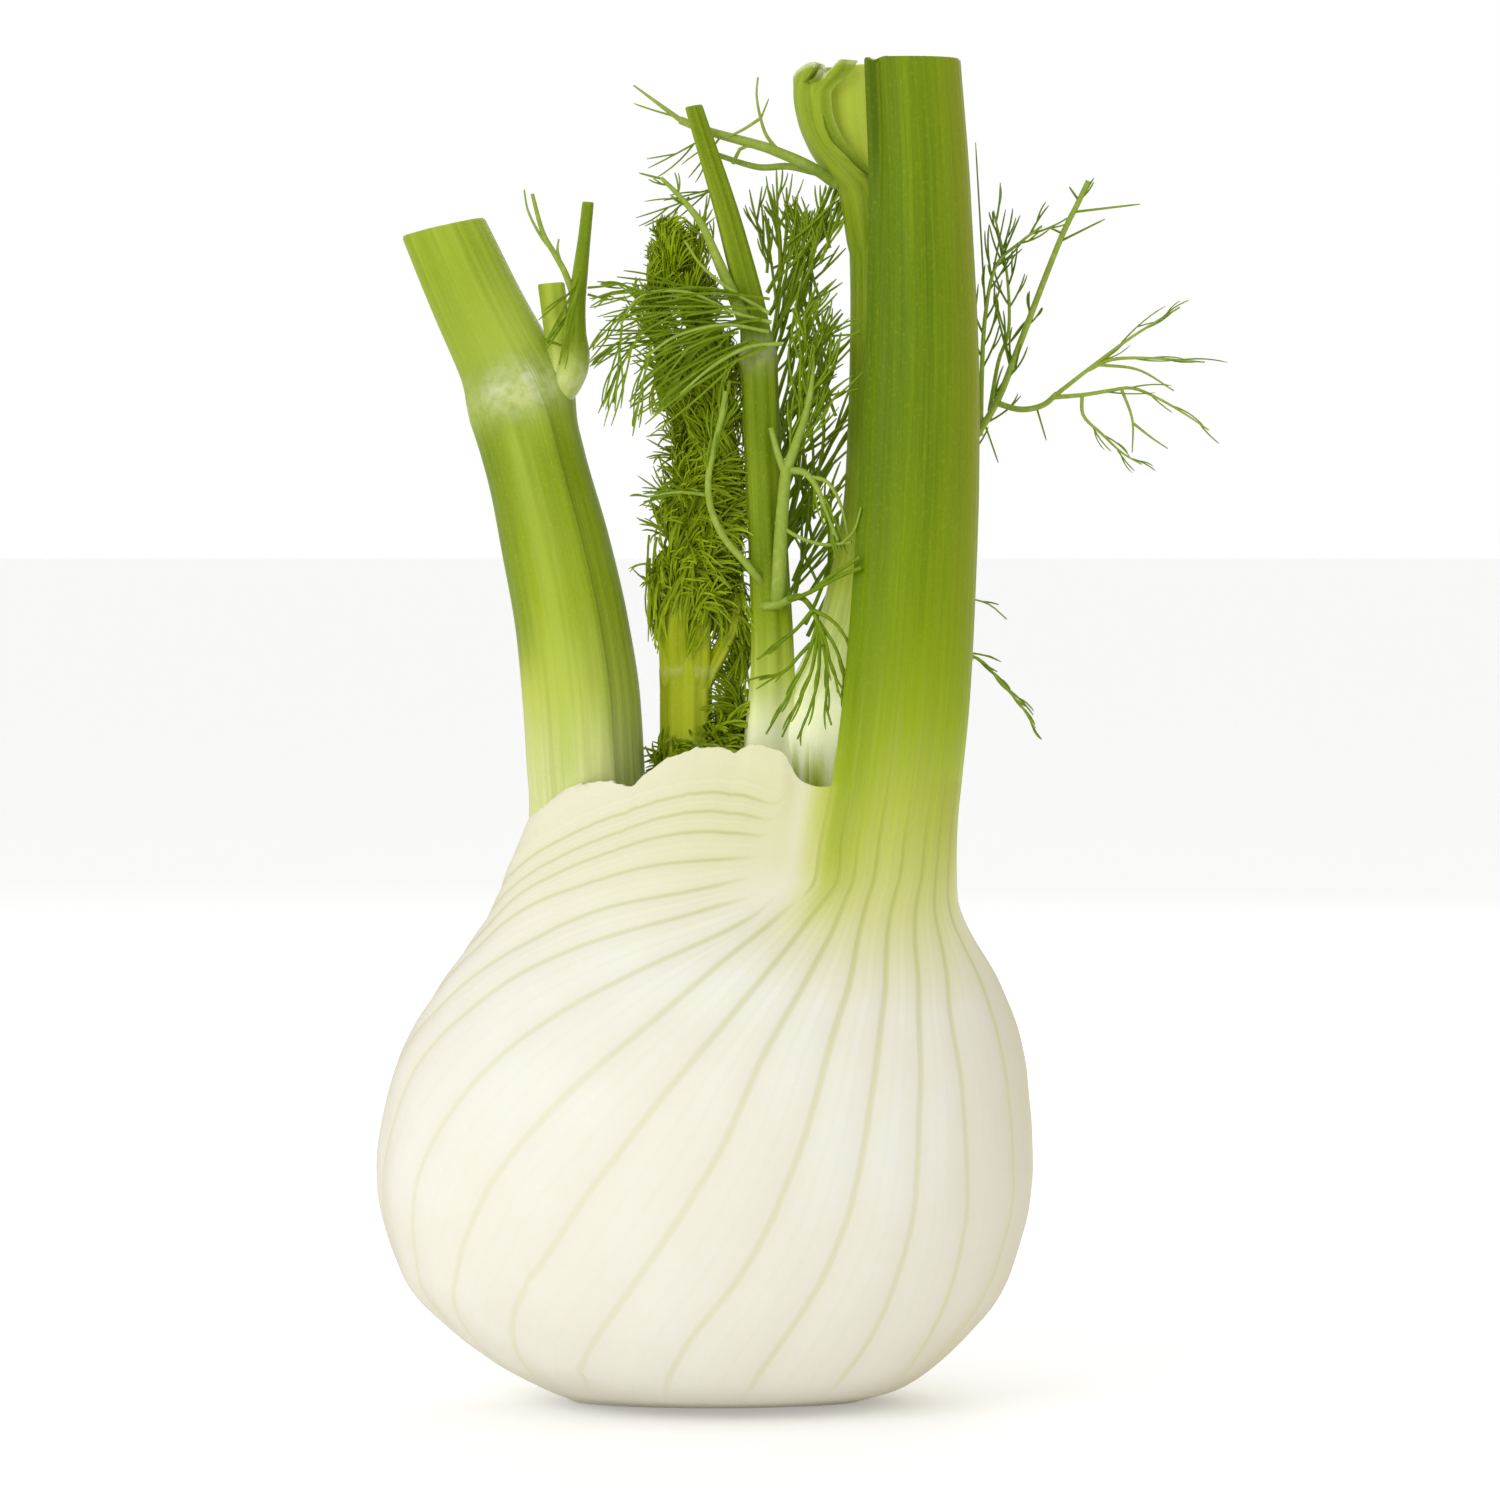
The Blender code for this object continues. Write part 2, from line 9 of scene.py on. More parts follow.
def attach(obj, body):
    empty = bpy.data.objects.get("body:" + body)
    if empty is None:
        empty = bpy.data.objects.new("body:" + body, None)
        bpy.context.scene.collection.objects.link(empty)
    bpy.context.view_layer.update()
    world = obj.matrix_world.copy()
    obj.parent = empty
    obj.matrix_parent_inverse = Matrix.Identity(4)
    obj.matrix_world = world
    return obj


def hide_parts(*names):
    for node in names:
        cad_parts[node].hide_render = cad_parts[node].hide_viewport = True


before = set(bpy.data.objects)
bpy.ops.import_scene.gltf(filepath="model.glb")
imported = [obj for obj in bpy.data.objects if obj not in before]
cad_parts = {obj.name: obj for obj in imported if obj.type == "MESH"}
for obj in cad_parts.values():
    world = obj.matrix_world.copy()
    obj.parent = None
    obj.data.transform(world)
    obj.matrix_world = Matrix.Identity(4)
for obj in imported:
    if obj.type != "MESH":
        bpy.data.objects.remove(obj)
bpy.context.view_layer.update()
mm = 0.001

# camera, light and floor

studio = {
    "lens": 150.0,
    "distance": 0.947,
    "elevation": 2.0,
    "target": (0.0068, 0.0, 0.0989),
    "floorColour": (0.90, 0.895, 0.89),
    "floorLift": 0.10,
    "floorGlow": 0.12,
    "skyToEye": 1.0,
    "skyToObject": 0.80,
    # place, target, size and power
    "lights": {
        "keyLight": ((-0.70, -0.95, 0.62), (0.0, 0.0, 0.06), 0.7, 4.05),
        "backLight": ((0.2, 0.9, 0.7), (0.0, 0.0, 0.12), 0.8, 2.2),
    },
}


def aimAt(thing, place, target):
    thing.location = place
    thing.rotation_euler = (Vector(target) - Vector(place)).to_track_quat("-Z", "Y").to_euler()


def softBox(name, place, target, size, power):
    data = bpy.data.lights.new(name, "AREA")
    data.shape = "DISK"
    data.size = size
    data.energy = power
    light = bpy.data.objects.new(name, data)
    bpy.context.scene.collection.objects.link(light)
    aimAt(light, place, target)


def makeStudio():
    camData = bpy.data.cameras.new("camera")
    camData.lens = studio["lens"]
    camData.sensor_width = 36.0
    camera = bpy.data.objects.new("camera", camData)
    bpy.context.scene.collection.objects.link(camera)
    lift = math.radians(studio["elevation"])
    tx, ty, tz = studio["target"]
    away = studio["distance"]
    aimAt(camera, (tx, ty - away * math.cos(lift), tz + away * math.sin(lift)), (tx, ty, tz))
    bpy.context.scene.camera = camera
    bpy.context.scene.view_settings.view_transform = "Standard"

    for name, (place, target, size, power) in studio["lights"].items():
        softBox(name, place, target, size, power)

    world = bpy.data.worlds.new("studioWorld")
    world.use_nodes = True
    tree = world.node_tree
    sky, seen = tree.nodes["Background"], tree.nodes.new("ShaderNodeBackground")
    for node, strength in ((sky, "skyToObject"), (seen, "skyToEye")):
        node.inputs["Color"].default_value = (1.0, 1.0, 1.0, 1.0)
        node.inputs["Strength"].default_value = studio[strength]
    path = tree.nodes.new("ShaderNodeLightPath")
    pick = tree.nodes.new("ShaderNodeMixShader")
    tree.links.new(path.outputs["Is Camera Ray"], pick.inputs["Fac"])
    tree.links.new(sky.outputs[0], pick.inputs[1])
    tree.links.new(seen.outputs[0], pick.inputs[2])
    tree.links.new(pick.outputs[0], tree.nodes["World Output"].inputs["Surface"])
    bpy.context.scene.world = world

    # the floor, big enough to run out of view
    work = bmesh.new()
    work.faces.new([work.verts.new((x, y, -0.0002)) for x, y in ((-9, -4), (9, -4), (9, 30), (-9, 30))])
    mesh = bpy.data.meshes.new("floor")
    work.to_mesh(mesh)
    work.free()
    floor = bpy.data.objects.new("floor", mesh)
    bpy.context.scene.collection.objects.link(floor)
    paper = bpy.data.materials.new("studioPaper")
    paper.use_nodes = True
    shader = paper.node_tree.nodes["Principled BSDF"]
    shader.inputs["Base Color"].default_value = (*studio["floorColour"], 1.0)
    shader.inputs["Roughness"].default_value = 0.7
    shader.inputs["Specular IOR Level"].default_value = 0.1
    shader.inputs["Emission Color"].default_value = (1.0, 1.0, 1.0, 1.0)
    # the paper reads a little brighter to the eye than it lights the object
    seenPath = paper.node_tree.nodes.new("ShaderNodeLightPath")
    lift = paper.node_tree.nodes.new("ShaderNodeMath")
    lift.operation = "MULTIPLY_ADD"
    lift.inputs[1].default_value = studio["floorLift"]
    lift.inputs[2].default_value = studio["floorGlow"]
    paper.node_tree.links.new(seenPath.outputs["Is Camera Ray"], lift.inputs[0])
    paper.node_tree.links.new(lift.outputs[0], shader.inputs["Emission Strength"])
    mesh.materials.append(paper)


makeStudio()
print("studio ready")


# shared shader work

def tint(red, green, blue):
    # display colour to the linear colour that shaders take
    def one(value):
        value /= 255.0
        return value / 12.92 if value <= 0.04045 else ((value + 0.055) / 1.055) ** 2.4
    return (one(red), one(green), one(blue), 1.0)


class Nodes:
    # a small hand for adding and joining shader nodes

    def __init__(self, tree):
        self.tree = tree

    def add(self, kind, settings=None, **inputs):
        node = self.tree.nodes.new("ShaderNode" + kind)
        for key, value in (settings or {}).items():
            setattr(node, key, value)
        for key, value in inputs.items():
            self.feed(node, key, value)
        return node

    def feed(self, node, socket, value):
        target = node.inputs[socket]
        if isinstance(value, bpy.types.NodeSocket):
            self.tree.links.new(value, target)
        else:
            target.default_value = value

    def math(self, operation, first, second=0.0, third=0.0):
        node = self.add("Math", {"operation": operation})
        for socket, value in enumerate((first, second, third)):
            self.feed(node, socket, value)
        return node.outputs[0]

    def times(self, first, second):
        return self.math("MULTIPLY", first, second)

    def plus(self, first, second):
        return self.math("ADD", first, second)

    def minus(self, first, second):
        return self.math("SUBTRACT", first, second)

    def fit(self, value, low, high, outLow=0.0, outHigh=1.0):
        node = self.add("MapRange", {"interpolation_type": "SMOOTHSTEP"})
        for socket, item in enumerate((value, low, high, outLow, outHigh)):
            self.feed(node, socket, item)
        return node.outputs[0]

    def mix(self, share, first, second):
        node = self.add("Mix", {"data_type": "RGBA"})
        for socket, item in ((0, share), (6, first), (7, second)):
            self.feed(node, socket, item)
        return node.outputs[2]

    def layers(self, skin, *coats):
        # each coat is a share and a colour, laid over what is below it
        for share, colour in coats:
            skin = self.mix(share, skin, tint(*colour) if isinstance(colour, tuple) else colour)
        return skin

    def bands(self, tone, skin, pale, deep):
        # a positive tone shows the pale colour and a negative one the deep colour
        return self.layers(skin, (self.math("MAXIMUM", tone, 0.0), pale),
            (self.math("MAXIMUM", self.times(tone, -1.0), 0.0), deep))

    def ramp(self, value, stops):
        node = self.add("ValToRGB")
        band = node.color_ramp
        band.elements[0].position, band.elements[0].color = stops[0]
        band.elements[1].position, band.elements[1].color = stops[-1]
        for place, colour in stops[1:-1]:
            band.elements.new(place).color = colour
        self.feed(node, 0, value)
        return node.outputs[0]

    def noise(self, vector, scale, detail=2.0, rough=0.5):
        node = self.add("TexNoise", None, Scale=scale, Detail=detail, Roughness=rough)
        self.feed(node, "Vector", vector)
        return node.outputs["Fac"]

    def field(self, name):
        return self.add("Attribute", {"attribute_name": name}).outputs["Fac"]

    def place(self):
        return self.add("TexCoord").outputs["Object"]


def newGroup(name, ins, outs):
    group = bpy.data.node_groups.new(name, "ShaderNodeTree")
    for label, value in ins:
        kind = "NodeSocketVector" if isinstance(value, tuple) else "NodeSocketFloat"
        socket = group.interface.new_socket(label, in_out="INPUT", socket_type=kind)
        socket.default_value = value
    for label in outs:
        group.interface.new_socket(label, in_out="OUTPUT", socket_type="NodeSocketFloat")
    return group, group.nodes.new("NodeGroupInput"), group.nodes.new("NodeGroupOutput"), Nodes(group)


def makeFibreGroup():
    # long thin plant fibres: Across and Along are millimetres over the surface
    group, into, out, n = newGroup(
        "plantFibres",
        [("Across", 0.0), ("Along", 0.0), ("Pitch", 1.2), ("Length", 30.0)],
        ["Broad", "Fine", "Relief"],
    )
    across = n.math("DIVIDE", into.outputs["Across"], into.outputs["Pitch"])
    along = n.math("DIVIDE", into.outputs["Along"], into.outputs["Length"])
    broadAt = n.add("CombineXYZ", None, X=across, Y=along)
    broad = n.noise(broadAt.outputs[0], 0.55)
    fineAt = n.add("CombineXYZ", None, X=n.times(across, 2.6), Y=n.times(along, 1.7), Z=7.3)
    fine = n.noise(fineAt.outputs[0], 1.0, 3.0, 0.6)
    group.links.new(n.fit(broad, 0.36, 0.64), out.inputs["Broad"])
    group.links.new(n.fit(fine, 0.34, 0.66), out.inputs["Fine"])
    relief = n.plus(n.times(broad, 0.6), n.times(fine, 0.4))
    group.links.new(relief, out.inputs["Relief"])
    return group


def makeVeinGroup():
    # a thin line wherever Vein is a whole number; Gap is the millimetres between two veins
    group, into, out, n = newGroup(
        "leafVeins",
        [("Vein", 0.0), ("Gap", 10.0), ("Ink", 1.0), ("Width", 0.5)],
        ["Line", "Halo", "Hair"],
    )

    def away(shift):
        turned = n.math("FRACT", n.plus(into.outputs["Vein"], 0.5 + shift))
        offset = n.math("ABSOLUTE", n.minus(turned, 0.5))
        return n.times(offset, into.outputs["Gap"])

    width, far = into.outputs["Width"], away(0.0)
    line = n.fit(far, n.times(width, 0.15), width, 1.0, 0.0)
    halo = n.fit(far, 0.0, n.times(width, 4.5), 1.0, 0.0)
    hair = n.math("MAXIMUM", *(n.fit(away(shift), 0.0, n.times(width, share), 1.0, 0.0)
        for shift, share in ((0.36, 0.8), (0.61, 0.7))))
    for label, value in (("Line", line), ("Halo", halo), ("Hair", hair)):
        group.links.new(n.times(value, into.outputs["Ink"]), out.inputs[label])
    return group


def makeMottleGroup():
    # cloudy patches and fine grain, for flesh that isn't one flat colour
    group, into, out, n = newGroup("fleshMottle", [("Place", (0.0, 0.0, 0.0)), ("Patch", 60.0),
        ("Grain", 1400.0)], ["Patch", "Grain"])
    place = into.outputs["Place"]
    patches = n.noise(place, into.outputs["Patch"], 3.0)
    group.links.new(n.fit(patches, 0.35, 0.65), out.inputs["Patch"])
    group.links.new(n.noise(place, into.outputs["Grain"]), out.inputs["Grain"])
    return group


fibreGroup = makeFibreGroup()
veinGroup = makeVeinGroup()
mottleGroup = makeMottleGroup()


def newMaterial(name, roughness, subsurface=0.0, specular=0.11):
    material = bpy.data.materials.new(name)
    material.use_nodes = True
    shader = material.node_tree.nodes["Principled BSDF"]
    shader.inputs["Roughness"].default_value = roughness
    shader.inputs["Specular IOR Level"].default_value = specular
    if subsurface:
        shader.inputs["Subsurface Weight"].default_value = subsurface
        shader.inputs["Subsurface Radius"].default_value = (1.0, 0.9, 0.45)
        shader.inputs["Subsurface Scale"].default_value = 0.0022
    return material, shader, Nodes(material.node_tree)


def useGroup(n, group, **inputs):
    node = n.tree.nodes.new("ShaderNodeGroup")
    node.node_tree = group
    for key, value in inputs.items():
        n.feed(node, key, value)
    return node.outputs


def addBump(n, shader, height, strength, distance=0.0004):
    bump = n.add("Bump", None, Strength=strength, Distance=distance)
    n.feed(bump, "Height", height)
    n.feed(shader, "Normal", bump.outputs[0])


bulbFinish = {
    "warmFlesh": (234, 227, 208),
    "paleFibre": (152, 174, 18),
    "deepFibre": (82, 108, 0),
    "paleBand": (150, 173, 14),
    "deepBand": (80, 104, 0),
    "speckle": (158, 178, 40),
    "vein": (212, 210, 146),
    "greenVein": (172, 180, 76),
    "edgeShadeTint": (204, 194, 158),
    "olive": (156, 158, 36),
    "sideGreen": (186, 190, 98),
    "roughness": 0.36,
    # colour from the white base up the stalk
    "rise": (
        (0.0, (241, 239, 227)), (0.05, (231, 229, 192)), (0.10, (217, 218, 150)),
        (0.15, (204, 209, 118)), (0.21, (190, 200, 84)), (0.31, (156, 176, 28)), (0.43, (122, 148, 2)),
        (0.58, (98, 126, 0)), (0.78, (94, 123, 0)), (1.0, (112, 139, 4)),
    ),
}


def makeBulbSkin():
    material, shader, n = newMaterial("bulbSkin", bulbFinish["roughness"], 0.12, 0.12)
    green, rise, across = n.field("green"), n.field("rise"), n.field("across")
    fibres = useGroup(n, fibreGroup, Across=across, Along=rise, Pitch=0.8, Length=42.0)
    veins = useGroup(n, veinGroup, Vein=n.field("vein"), Gap=n.field("gap"), Ink=n.field("ink"),
        Width=n.fit(rise, 55.0, 86.0, 0.85, 0.42))
    mottle = useGroup(n, mottleGroup, Place=n.place(), Patch=40.0, Grain=1800.0)

    onStalk = n.fit(green, 0.05, 0.35)
    wander = n.math("MULTIPLY_ADD", n.minus(fibres["Broad"], 0.5),
                    n.times(onStalk, 0.05), green)
    # lighter and darker fibres up the stalk
    skin = n.layers(
        n.ramp(wander, [(p, tint(*c)) for p, c in bulbFinish["rise"]]),
        (n.times(mottle["Patch"], n.fit(green, 0.0, 0.08, 0.30, 0.0)), bulbFinish["warmFlesh"]),
        (n.times(n.times(fibres["Fine"], onStalk), 0.22), bulbFinish["paleFibre"]),
        (n.times(n.times(n.minus(1.0, fibres["Broad"]), onStalk), 0.24), bulbFinish["deepFibre"]))
    # the tone bands up the stalk: partly its own streaks, partly painted light and shade
    skin = n.bands(n.field("tone"), skin, bulbFinish["paleBand"], bulbFinish["deepBand"])
    # veins, beige low down and green where they near the stalk
    veinColour = n.mix(n.fit(rise, 45.0, 88.0), tint(*bulbFinish["vein"]),
        tint(*bulbFinish["greenVein"]))
    # painted shade: the pale flesh is darkened and warmed where it turns away from the camera
    rim = n.add("LayerWeight", None, Blend=0.25).outputs["Facing"]
    skin = n.layers(
        skin,
        (n.times(n.fit(mottle["Grain"], 0.5, 0.8), n.times(onStalk, 0.22)), bulbFinish["speckle"]),
        (n.times(n.field("olive"), 0.6), bulbFinish["olive"]),
        (n.times(n.field("side"), 0.6), bulbFinish["sideGreen"]),
        # painted shade, warm in tint, on the bulb's lower right and back side
        (n.times(n.field("warmShade"), 0.75), bulbFinish["edgeShadeTint"]),
        (n.times(n.fit(rim, 0.25, 0.95), n.fit(green, 0.0, 0.12, 0.8, 0.0)), bulbFinish["edgeShadeTint"]),
        (n.times(veins["Halo"], 0.14), veinColour),
        (n.times(veins["Hair"], 0.08), veinColour),
        (n.times(veins["Line"], n.fit(rise, 20.0, 80.0, 0.46, 0.42)), veinColour))
    n.feed(shader, "Base Color", skin)
    rough = n.plus(n.times(mottle["Patch"], 0.08), bulbFinish["roughness"] - 0.03)
    n.feed(shader, "Roughness", rough)
    relief = n.plus(n.times(mottle["Grain"], 0.22),
                    n.times(n.times(fibres["Relief"], onStalk), 1.6))
    relief = n.minus(relief, n.times(veins["Line"], 0.5))
    addBump(n, shader, relief, 0.5, 0.00035)
    return material


def makeStalkSkin(name, stops, pale, deep, pitch=1.1, roughness=0.40, veinWidth=0.35, paintedGlow=0.0):
    # skin for every other leaf and stalk; stops run with the "green" field
    material, shader, n = newMaterial(name, roughness, 0.10)
    green, rise = n.field("green"), n.field("rise")
    fibres = useGroup(n, fibreGroup, Across=n.field("across"), Along=rise, Pitch=pitch, Length=34.0)
    mottle = useGroup(n, mottleGroup, Place=n.place(), Patch=90.0, Grain=2200.0)
    onStalk = n.fit(green, 0.02, 0.25)
    skin = n.layers(
        n.ramp(green, [(p, tint(*c)) for p, c in stops]),
        (n.times(n.times(fibres["Fine"], onStalk), 0.26), pale),
        (n.times(n.minus(1.0, fibres["Broad"]), n.times(onStalk, 0.36)), deep),
        (n.times(mottle["Patch"], 0.12), pale))
    skin = n.bands(n.field("tone"), skin, pale, deep)
    knotColour = n.mix(mottle["Patch"], tint(228, 231, 190), tint(198, 207, 128))
    patchy = n.fit(n.noise(n.place(), 700.0, 3.0), 0.3, 0.6, 0.55, 1.0)
    veins = useGroup(n, veinGroup, Vein=n.field("vein"), Gap=n.field("gap"), Ink=n.field("ink"),
        Width=veinWidth)
    skin = n.layers(
        skin,
        (n.times(n.fit(mottle["Grain"], 0.5, 0.8), n.times(onStalk, 0.25)), pale),
        (n.times(n.field("knot"), patchy), knotColour),
        (n.times(veins["Line"], 0.6), (176, 184, 104)))
    n.feed(shader, "Base Color", skin)
    if paintedGlow:
        # painted light: an emission glow that lifts the pale flesh between the leaves where it lies in
        # shade, standing in for light coming through it
        thin = n.times(n.fit(green, 0.05, 0.6, 1.0, 0.0), n.fit(rise, 96.0, 107.0, 0.25, 1.0))
        n.feed(shader, "Emission Color", n.mix(thin, (0.0, 0.0, 0.0, 1.0), skin))
        shader.inputs["Emission Strength"].default_value = paintedGlow
    n.feed(shader, "Roughness", n.fit(mottle["Grain"], 0.3, 0.7, roughness - 0.05, roughness + 0.08))
    relief = n.plus(n.times(mottle["Grain"], 0.25),
                    n.times(n.times(fibres["Relief"], onStalk), 1.5))
    addBump(n, shader, relief, 0.5, 0.00035)
    return material


def makeCutFace(name, flesh, rim, specks):
    # freshly cut stalk: pale pith with small darker bundles
    material, shader, n = newMaterial(name, 0.5, 0.12)
    place = n.place()
    cells = n.add("TexVoronoi", {"feature": "F1"}, Scale=620.0)
    n.feed(cells, "Vector", place)
    spot = n.fit(cells.outputs["Distance"], 0.12, 0.42, 1.0, 0.0)
    mottle = useGroup(n, mottleGroup, Place=place, Patch=160.0, Grain=2600.0)
    skin = n.mix(mottle["Patch"], tint(*flesh), tint(*rim))
    skin = n.mix(n.times(spot, 0.55), skin, tint(*specks))
    n.feed(shader, "Base Color", skin)
    addBump(n, shader, n.plus(mottle["Grain"], spot), 0.4, 0.0003)
    return material


def makeFoliage(name, dark, light, tip, roughness=0.5):
    material, shader, n = newMaterial(name, roughness, 0.0)
    place = n.place()
    patches = n.noise(place, 130.0, 3.0)
    strands = n.noise(place, 900.0, 2.0)
    # painted light and shade: each lock's random shade value mixes a shaded dark copy of the green with a
    # lit light copy, standing in for shaded and lit strands
    blend = n.math("MULTIPLY_ADD", n.field("shade"), 0.6, n.times(n.fit(patches, 0.36, 0.64), 0.4))
    colour = n.mix(blend, tint(*dark), tint(*light))
    colour = n.mix(n.fit(strands, 0.45, 0.75, 0.0, 0.5), colour, tint(*tip))
    colour = n.mix(n.times(n.field("tip"), 0.35), colour, tint(*tip))
    n.feed(shader, "Base Color", colour)
    n.feed(shader, "Roughness", n.fit(strands, 0.3, 0.7, roughness - 0.06, roughness + 0.08))
    return material


bulbSkin = makeBulbSkin()
leftSkin = makeStalkSkin("leftLeafSkin", ((0.0, (240, 238, 222)), (0.12, (230, 231, 178)),
    (0.26, (212, 217, 144)), (0.34, (192, 202, 88)), (0.45, (160, 178, 30)), (0.62, (138, 162, 16)),
    (0.80, (142, 166, 20)), (1.0, (164, 186, 44))), (178, 196, 76), (98, 122, 0), 1.5)
# the inner leaf glows a little: painted light on its pale base, which lies in shade between the leaves
innerSkin = makeStalkSkin(
    "innerLeafSkin",
    ((0.0, (228, 230, 190)), (0.12, (228, 231, 194)), (0.28, (206, 213, 136)), (0.42, (172, 188, 62)),
     (0.62, (140, 164, 18)), (1.0, (128, 154, 8))),
    (180, 196, 76), (98, 126, 0), 1.2, paintedGlow=0.60)
# a weaker glow here too: painted light on the pale low part of the centre stalk and side shoot
youngSkin = makeStalkSkin(
    "youngStalkSkin",
    ((0.0, (230, 232, 190)), (0.22, (188, 200, 84)), (0.45, (142, 163, 14)), (0.7, (112, 137, 8)),
     (1.0, (124, 148, 14))),
    (166, 184, 56), (88, 114, 0), 1.0, paintedGlow=0.30)
heartSkin = makeStalkSkin(
    "heartSkin",
    ((0.0, (220, 222, 140)), (0.3, (182, 193, 32)), (0.6, (166, 179, 10)), (1.0, (138, 156, 0))),
    (196, 204, 76), (120, 132, 0), 1.2)
# the lining glows strongly: painted light inside the pocket, where the wall shades it
pocketInside = makeStalkSkin(
    "pocketInside", ((0.0, (186, 199, 78)), (0.5, (172, 188, 52)), (1.0, (164, 182, 40))),
    (194, 206, 98), (140, 156, 10), 1.6, paintedGlow=0.68)
cutStalk = makeCutFace("cutStalk", (206, 216, 140), (180, 196, 92), (138, 160, 60))
cutRoot = makeCutFace("cutRoot", (214, 200, 164), (176, 152, 112), (128, 102, 66))
plumeLeaf = makeFoliage("plumeFoliage", (96, 121, 2), (150, 173, 14), (172, 190, 34))
frondLeaf = makeFoliage("frondFoliage", (94, 120, 8), (126, 152, 24), (144, 168, 40))
# painted light: a lighter copy of the frond colours for the net behind the stalks, which lies in their
# shade
litNetLeaf = makeFoliage("litNetFoliage", (108, 134, 14), (144, 168, 34), (160, 182, 54))
frondStem = makeFoliage("frondStem", (132, 156, 50), (158, 178, 72), (176, 194, 100), 0.42)
print("materials ready")


# the bulb's body, shared by every leaf base. Lengths are millimetres, angles degrees

bulb = {
    # height, centre x, half width, half depth
    "profile": (
        (0.0, 1.6, 21.8, 9.0), (2.5, 2.6, 28.0, 21.5), (8.5, 1.6, 36.6, 31.0), (20.0, 0.0, 46.4, 38.0),
        (35.0, 0.0, 50.0, 41.0), (50.0, 0.8, 47.8, 38.5), (63.0, 2.3, 42.4, 32.0),
        (76.0, 3.3, 35.3, 25.0), (89.0, 5.8, 32.3, 18.0), (101.0, 6.5, 28.0, 13.0),
    ),
    "layerGap": 1.5,
    "edgeWall": 1.4,
    "seenEdgeWall": 0.7,
    "edgeRamp": (35.0, 20.0),
    "rootShare": 0.45,
    "rootHeight": 20.0,
    "gatherLimit": 96.0,
    "gatherRate": 100.0,
    "belly": 35.0,
}

# each leaf: midrib direction, turn of its front side, wrap, the stalk's edges on the belly and on
# the stalk, the heights where base turns into stalk, the free edge, and the stalk's sections as
# height, x, y, half width, half depth, lean
outerLeaf = {
    "midrib": 0.0, "turn": -1.0, "wrap": (-112.0, 203.0),
    "bellyEdges": (-63.0, 123.0), "stalkEdges": (80.0, -150.0), "gather": (66.0, 94.0), "wall": 5.0,
    "freeEdge": (
        (-112.0, 60.0), (-95.0, 66.0), (-75.0, 73.0), (-60.0, 81.0), (-45.0, 94.0), (66.0, 93.8),
        (75.0, 97.6), (86.0, 99.7), (93.0, 99.8), (106.0, 98.9), (118.0, 96.0), (136.0, 94.4),
        (155.0, 92.0), (180.0, 88.5), (192.0, 82.0), (203.0, 70.0),
    ),
    "stalk": (
        (66.0, 25.5, -8.5, 14.0, 12.0, 0.0), (79.0, 25.9, -9.0, 11.9, 9.8, 0.0),
        (94.0, 28.0, -9.0, 10.5, 8.5, 0.0), (106.0, 29.4, -8.5, 10.3, 8.2, 0.0),
        (122.0, 30.6, -7.5, 10.0, 7.8, 0.0), (140.0, 31.5, -6.5, 9.7, 7.4, 0.0),
        (160.0, 32.0, -5.5, 9.1, 7.0, 0.0), (182.0, 31.7, -4.5, 8.3, 6.5, 0.0),
        (203.0, 30.6, -4.0, 7.8, 6.1, 0.0),
    ),
    "columns": (56, 110, 150), "crease": (1.04, 0.2, 66.0),
}
leftLeaf = {
    "midrib": 180.0, "turn": 1.0, "wrap": (-150.0, 160.0),
    "bellyEdges": (-90.0, 90.0), "stalkEdges": (110.0, -110.0), "gather": (56.0, 91.0), "wall": 4.0,
    "freeEdge": (
        (-150.0, 46.0), (-130.0, 54.0), (-105.0, 63.0), (-80.0, 74.0), (-57.0, 91.0),
        (57.0, 91.0), (75.0, 86.0), (100.0, 79.0), (125.0, 70.0), (145.0, 60.0), (160.0, 50.0),
    ),
    "stalk": (
        (56.0, -20.0, 0.0, 18.0, 18.0, 0.0), (72.0, -17.0, 0.0, 12.6, 13.0, 0.0),
        (91.0, -16.7, 0.0, 9.9, 8.4, 0.0), (97.0, -17.0, 0.0, 10.0, 8.3, 0.0),
        (106.5, -17.6, 0.2, 10.0, 8.2, 2.0), (118.0, -19.1, 0.4, 9.6, 8.0, 6.0),
        (130.0, -21.6, 0.6, 9.2, 7.7, 10.0), (142.0, -24.6, 0.8, 8.6, 7.2, 12.0),
        (150.0, -26.8, 1.0, 8.7, 7.3, 14.0), (153.4, -28.0, 1.0, 8.0, 6.8, 18.0),
        (158.0, -30.2, 1.0, 7.3, 6.2, 21.0), (166.0, -34.2, 1.0, 6.8, 5.8, 22.0),
        (178.0, -39.6, 1.0, 6.4, 5.4, 13.0),
    ),
    "columns": (60, 96, 60), "closed": (146.0, 156.0),
}
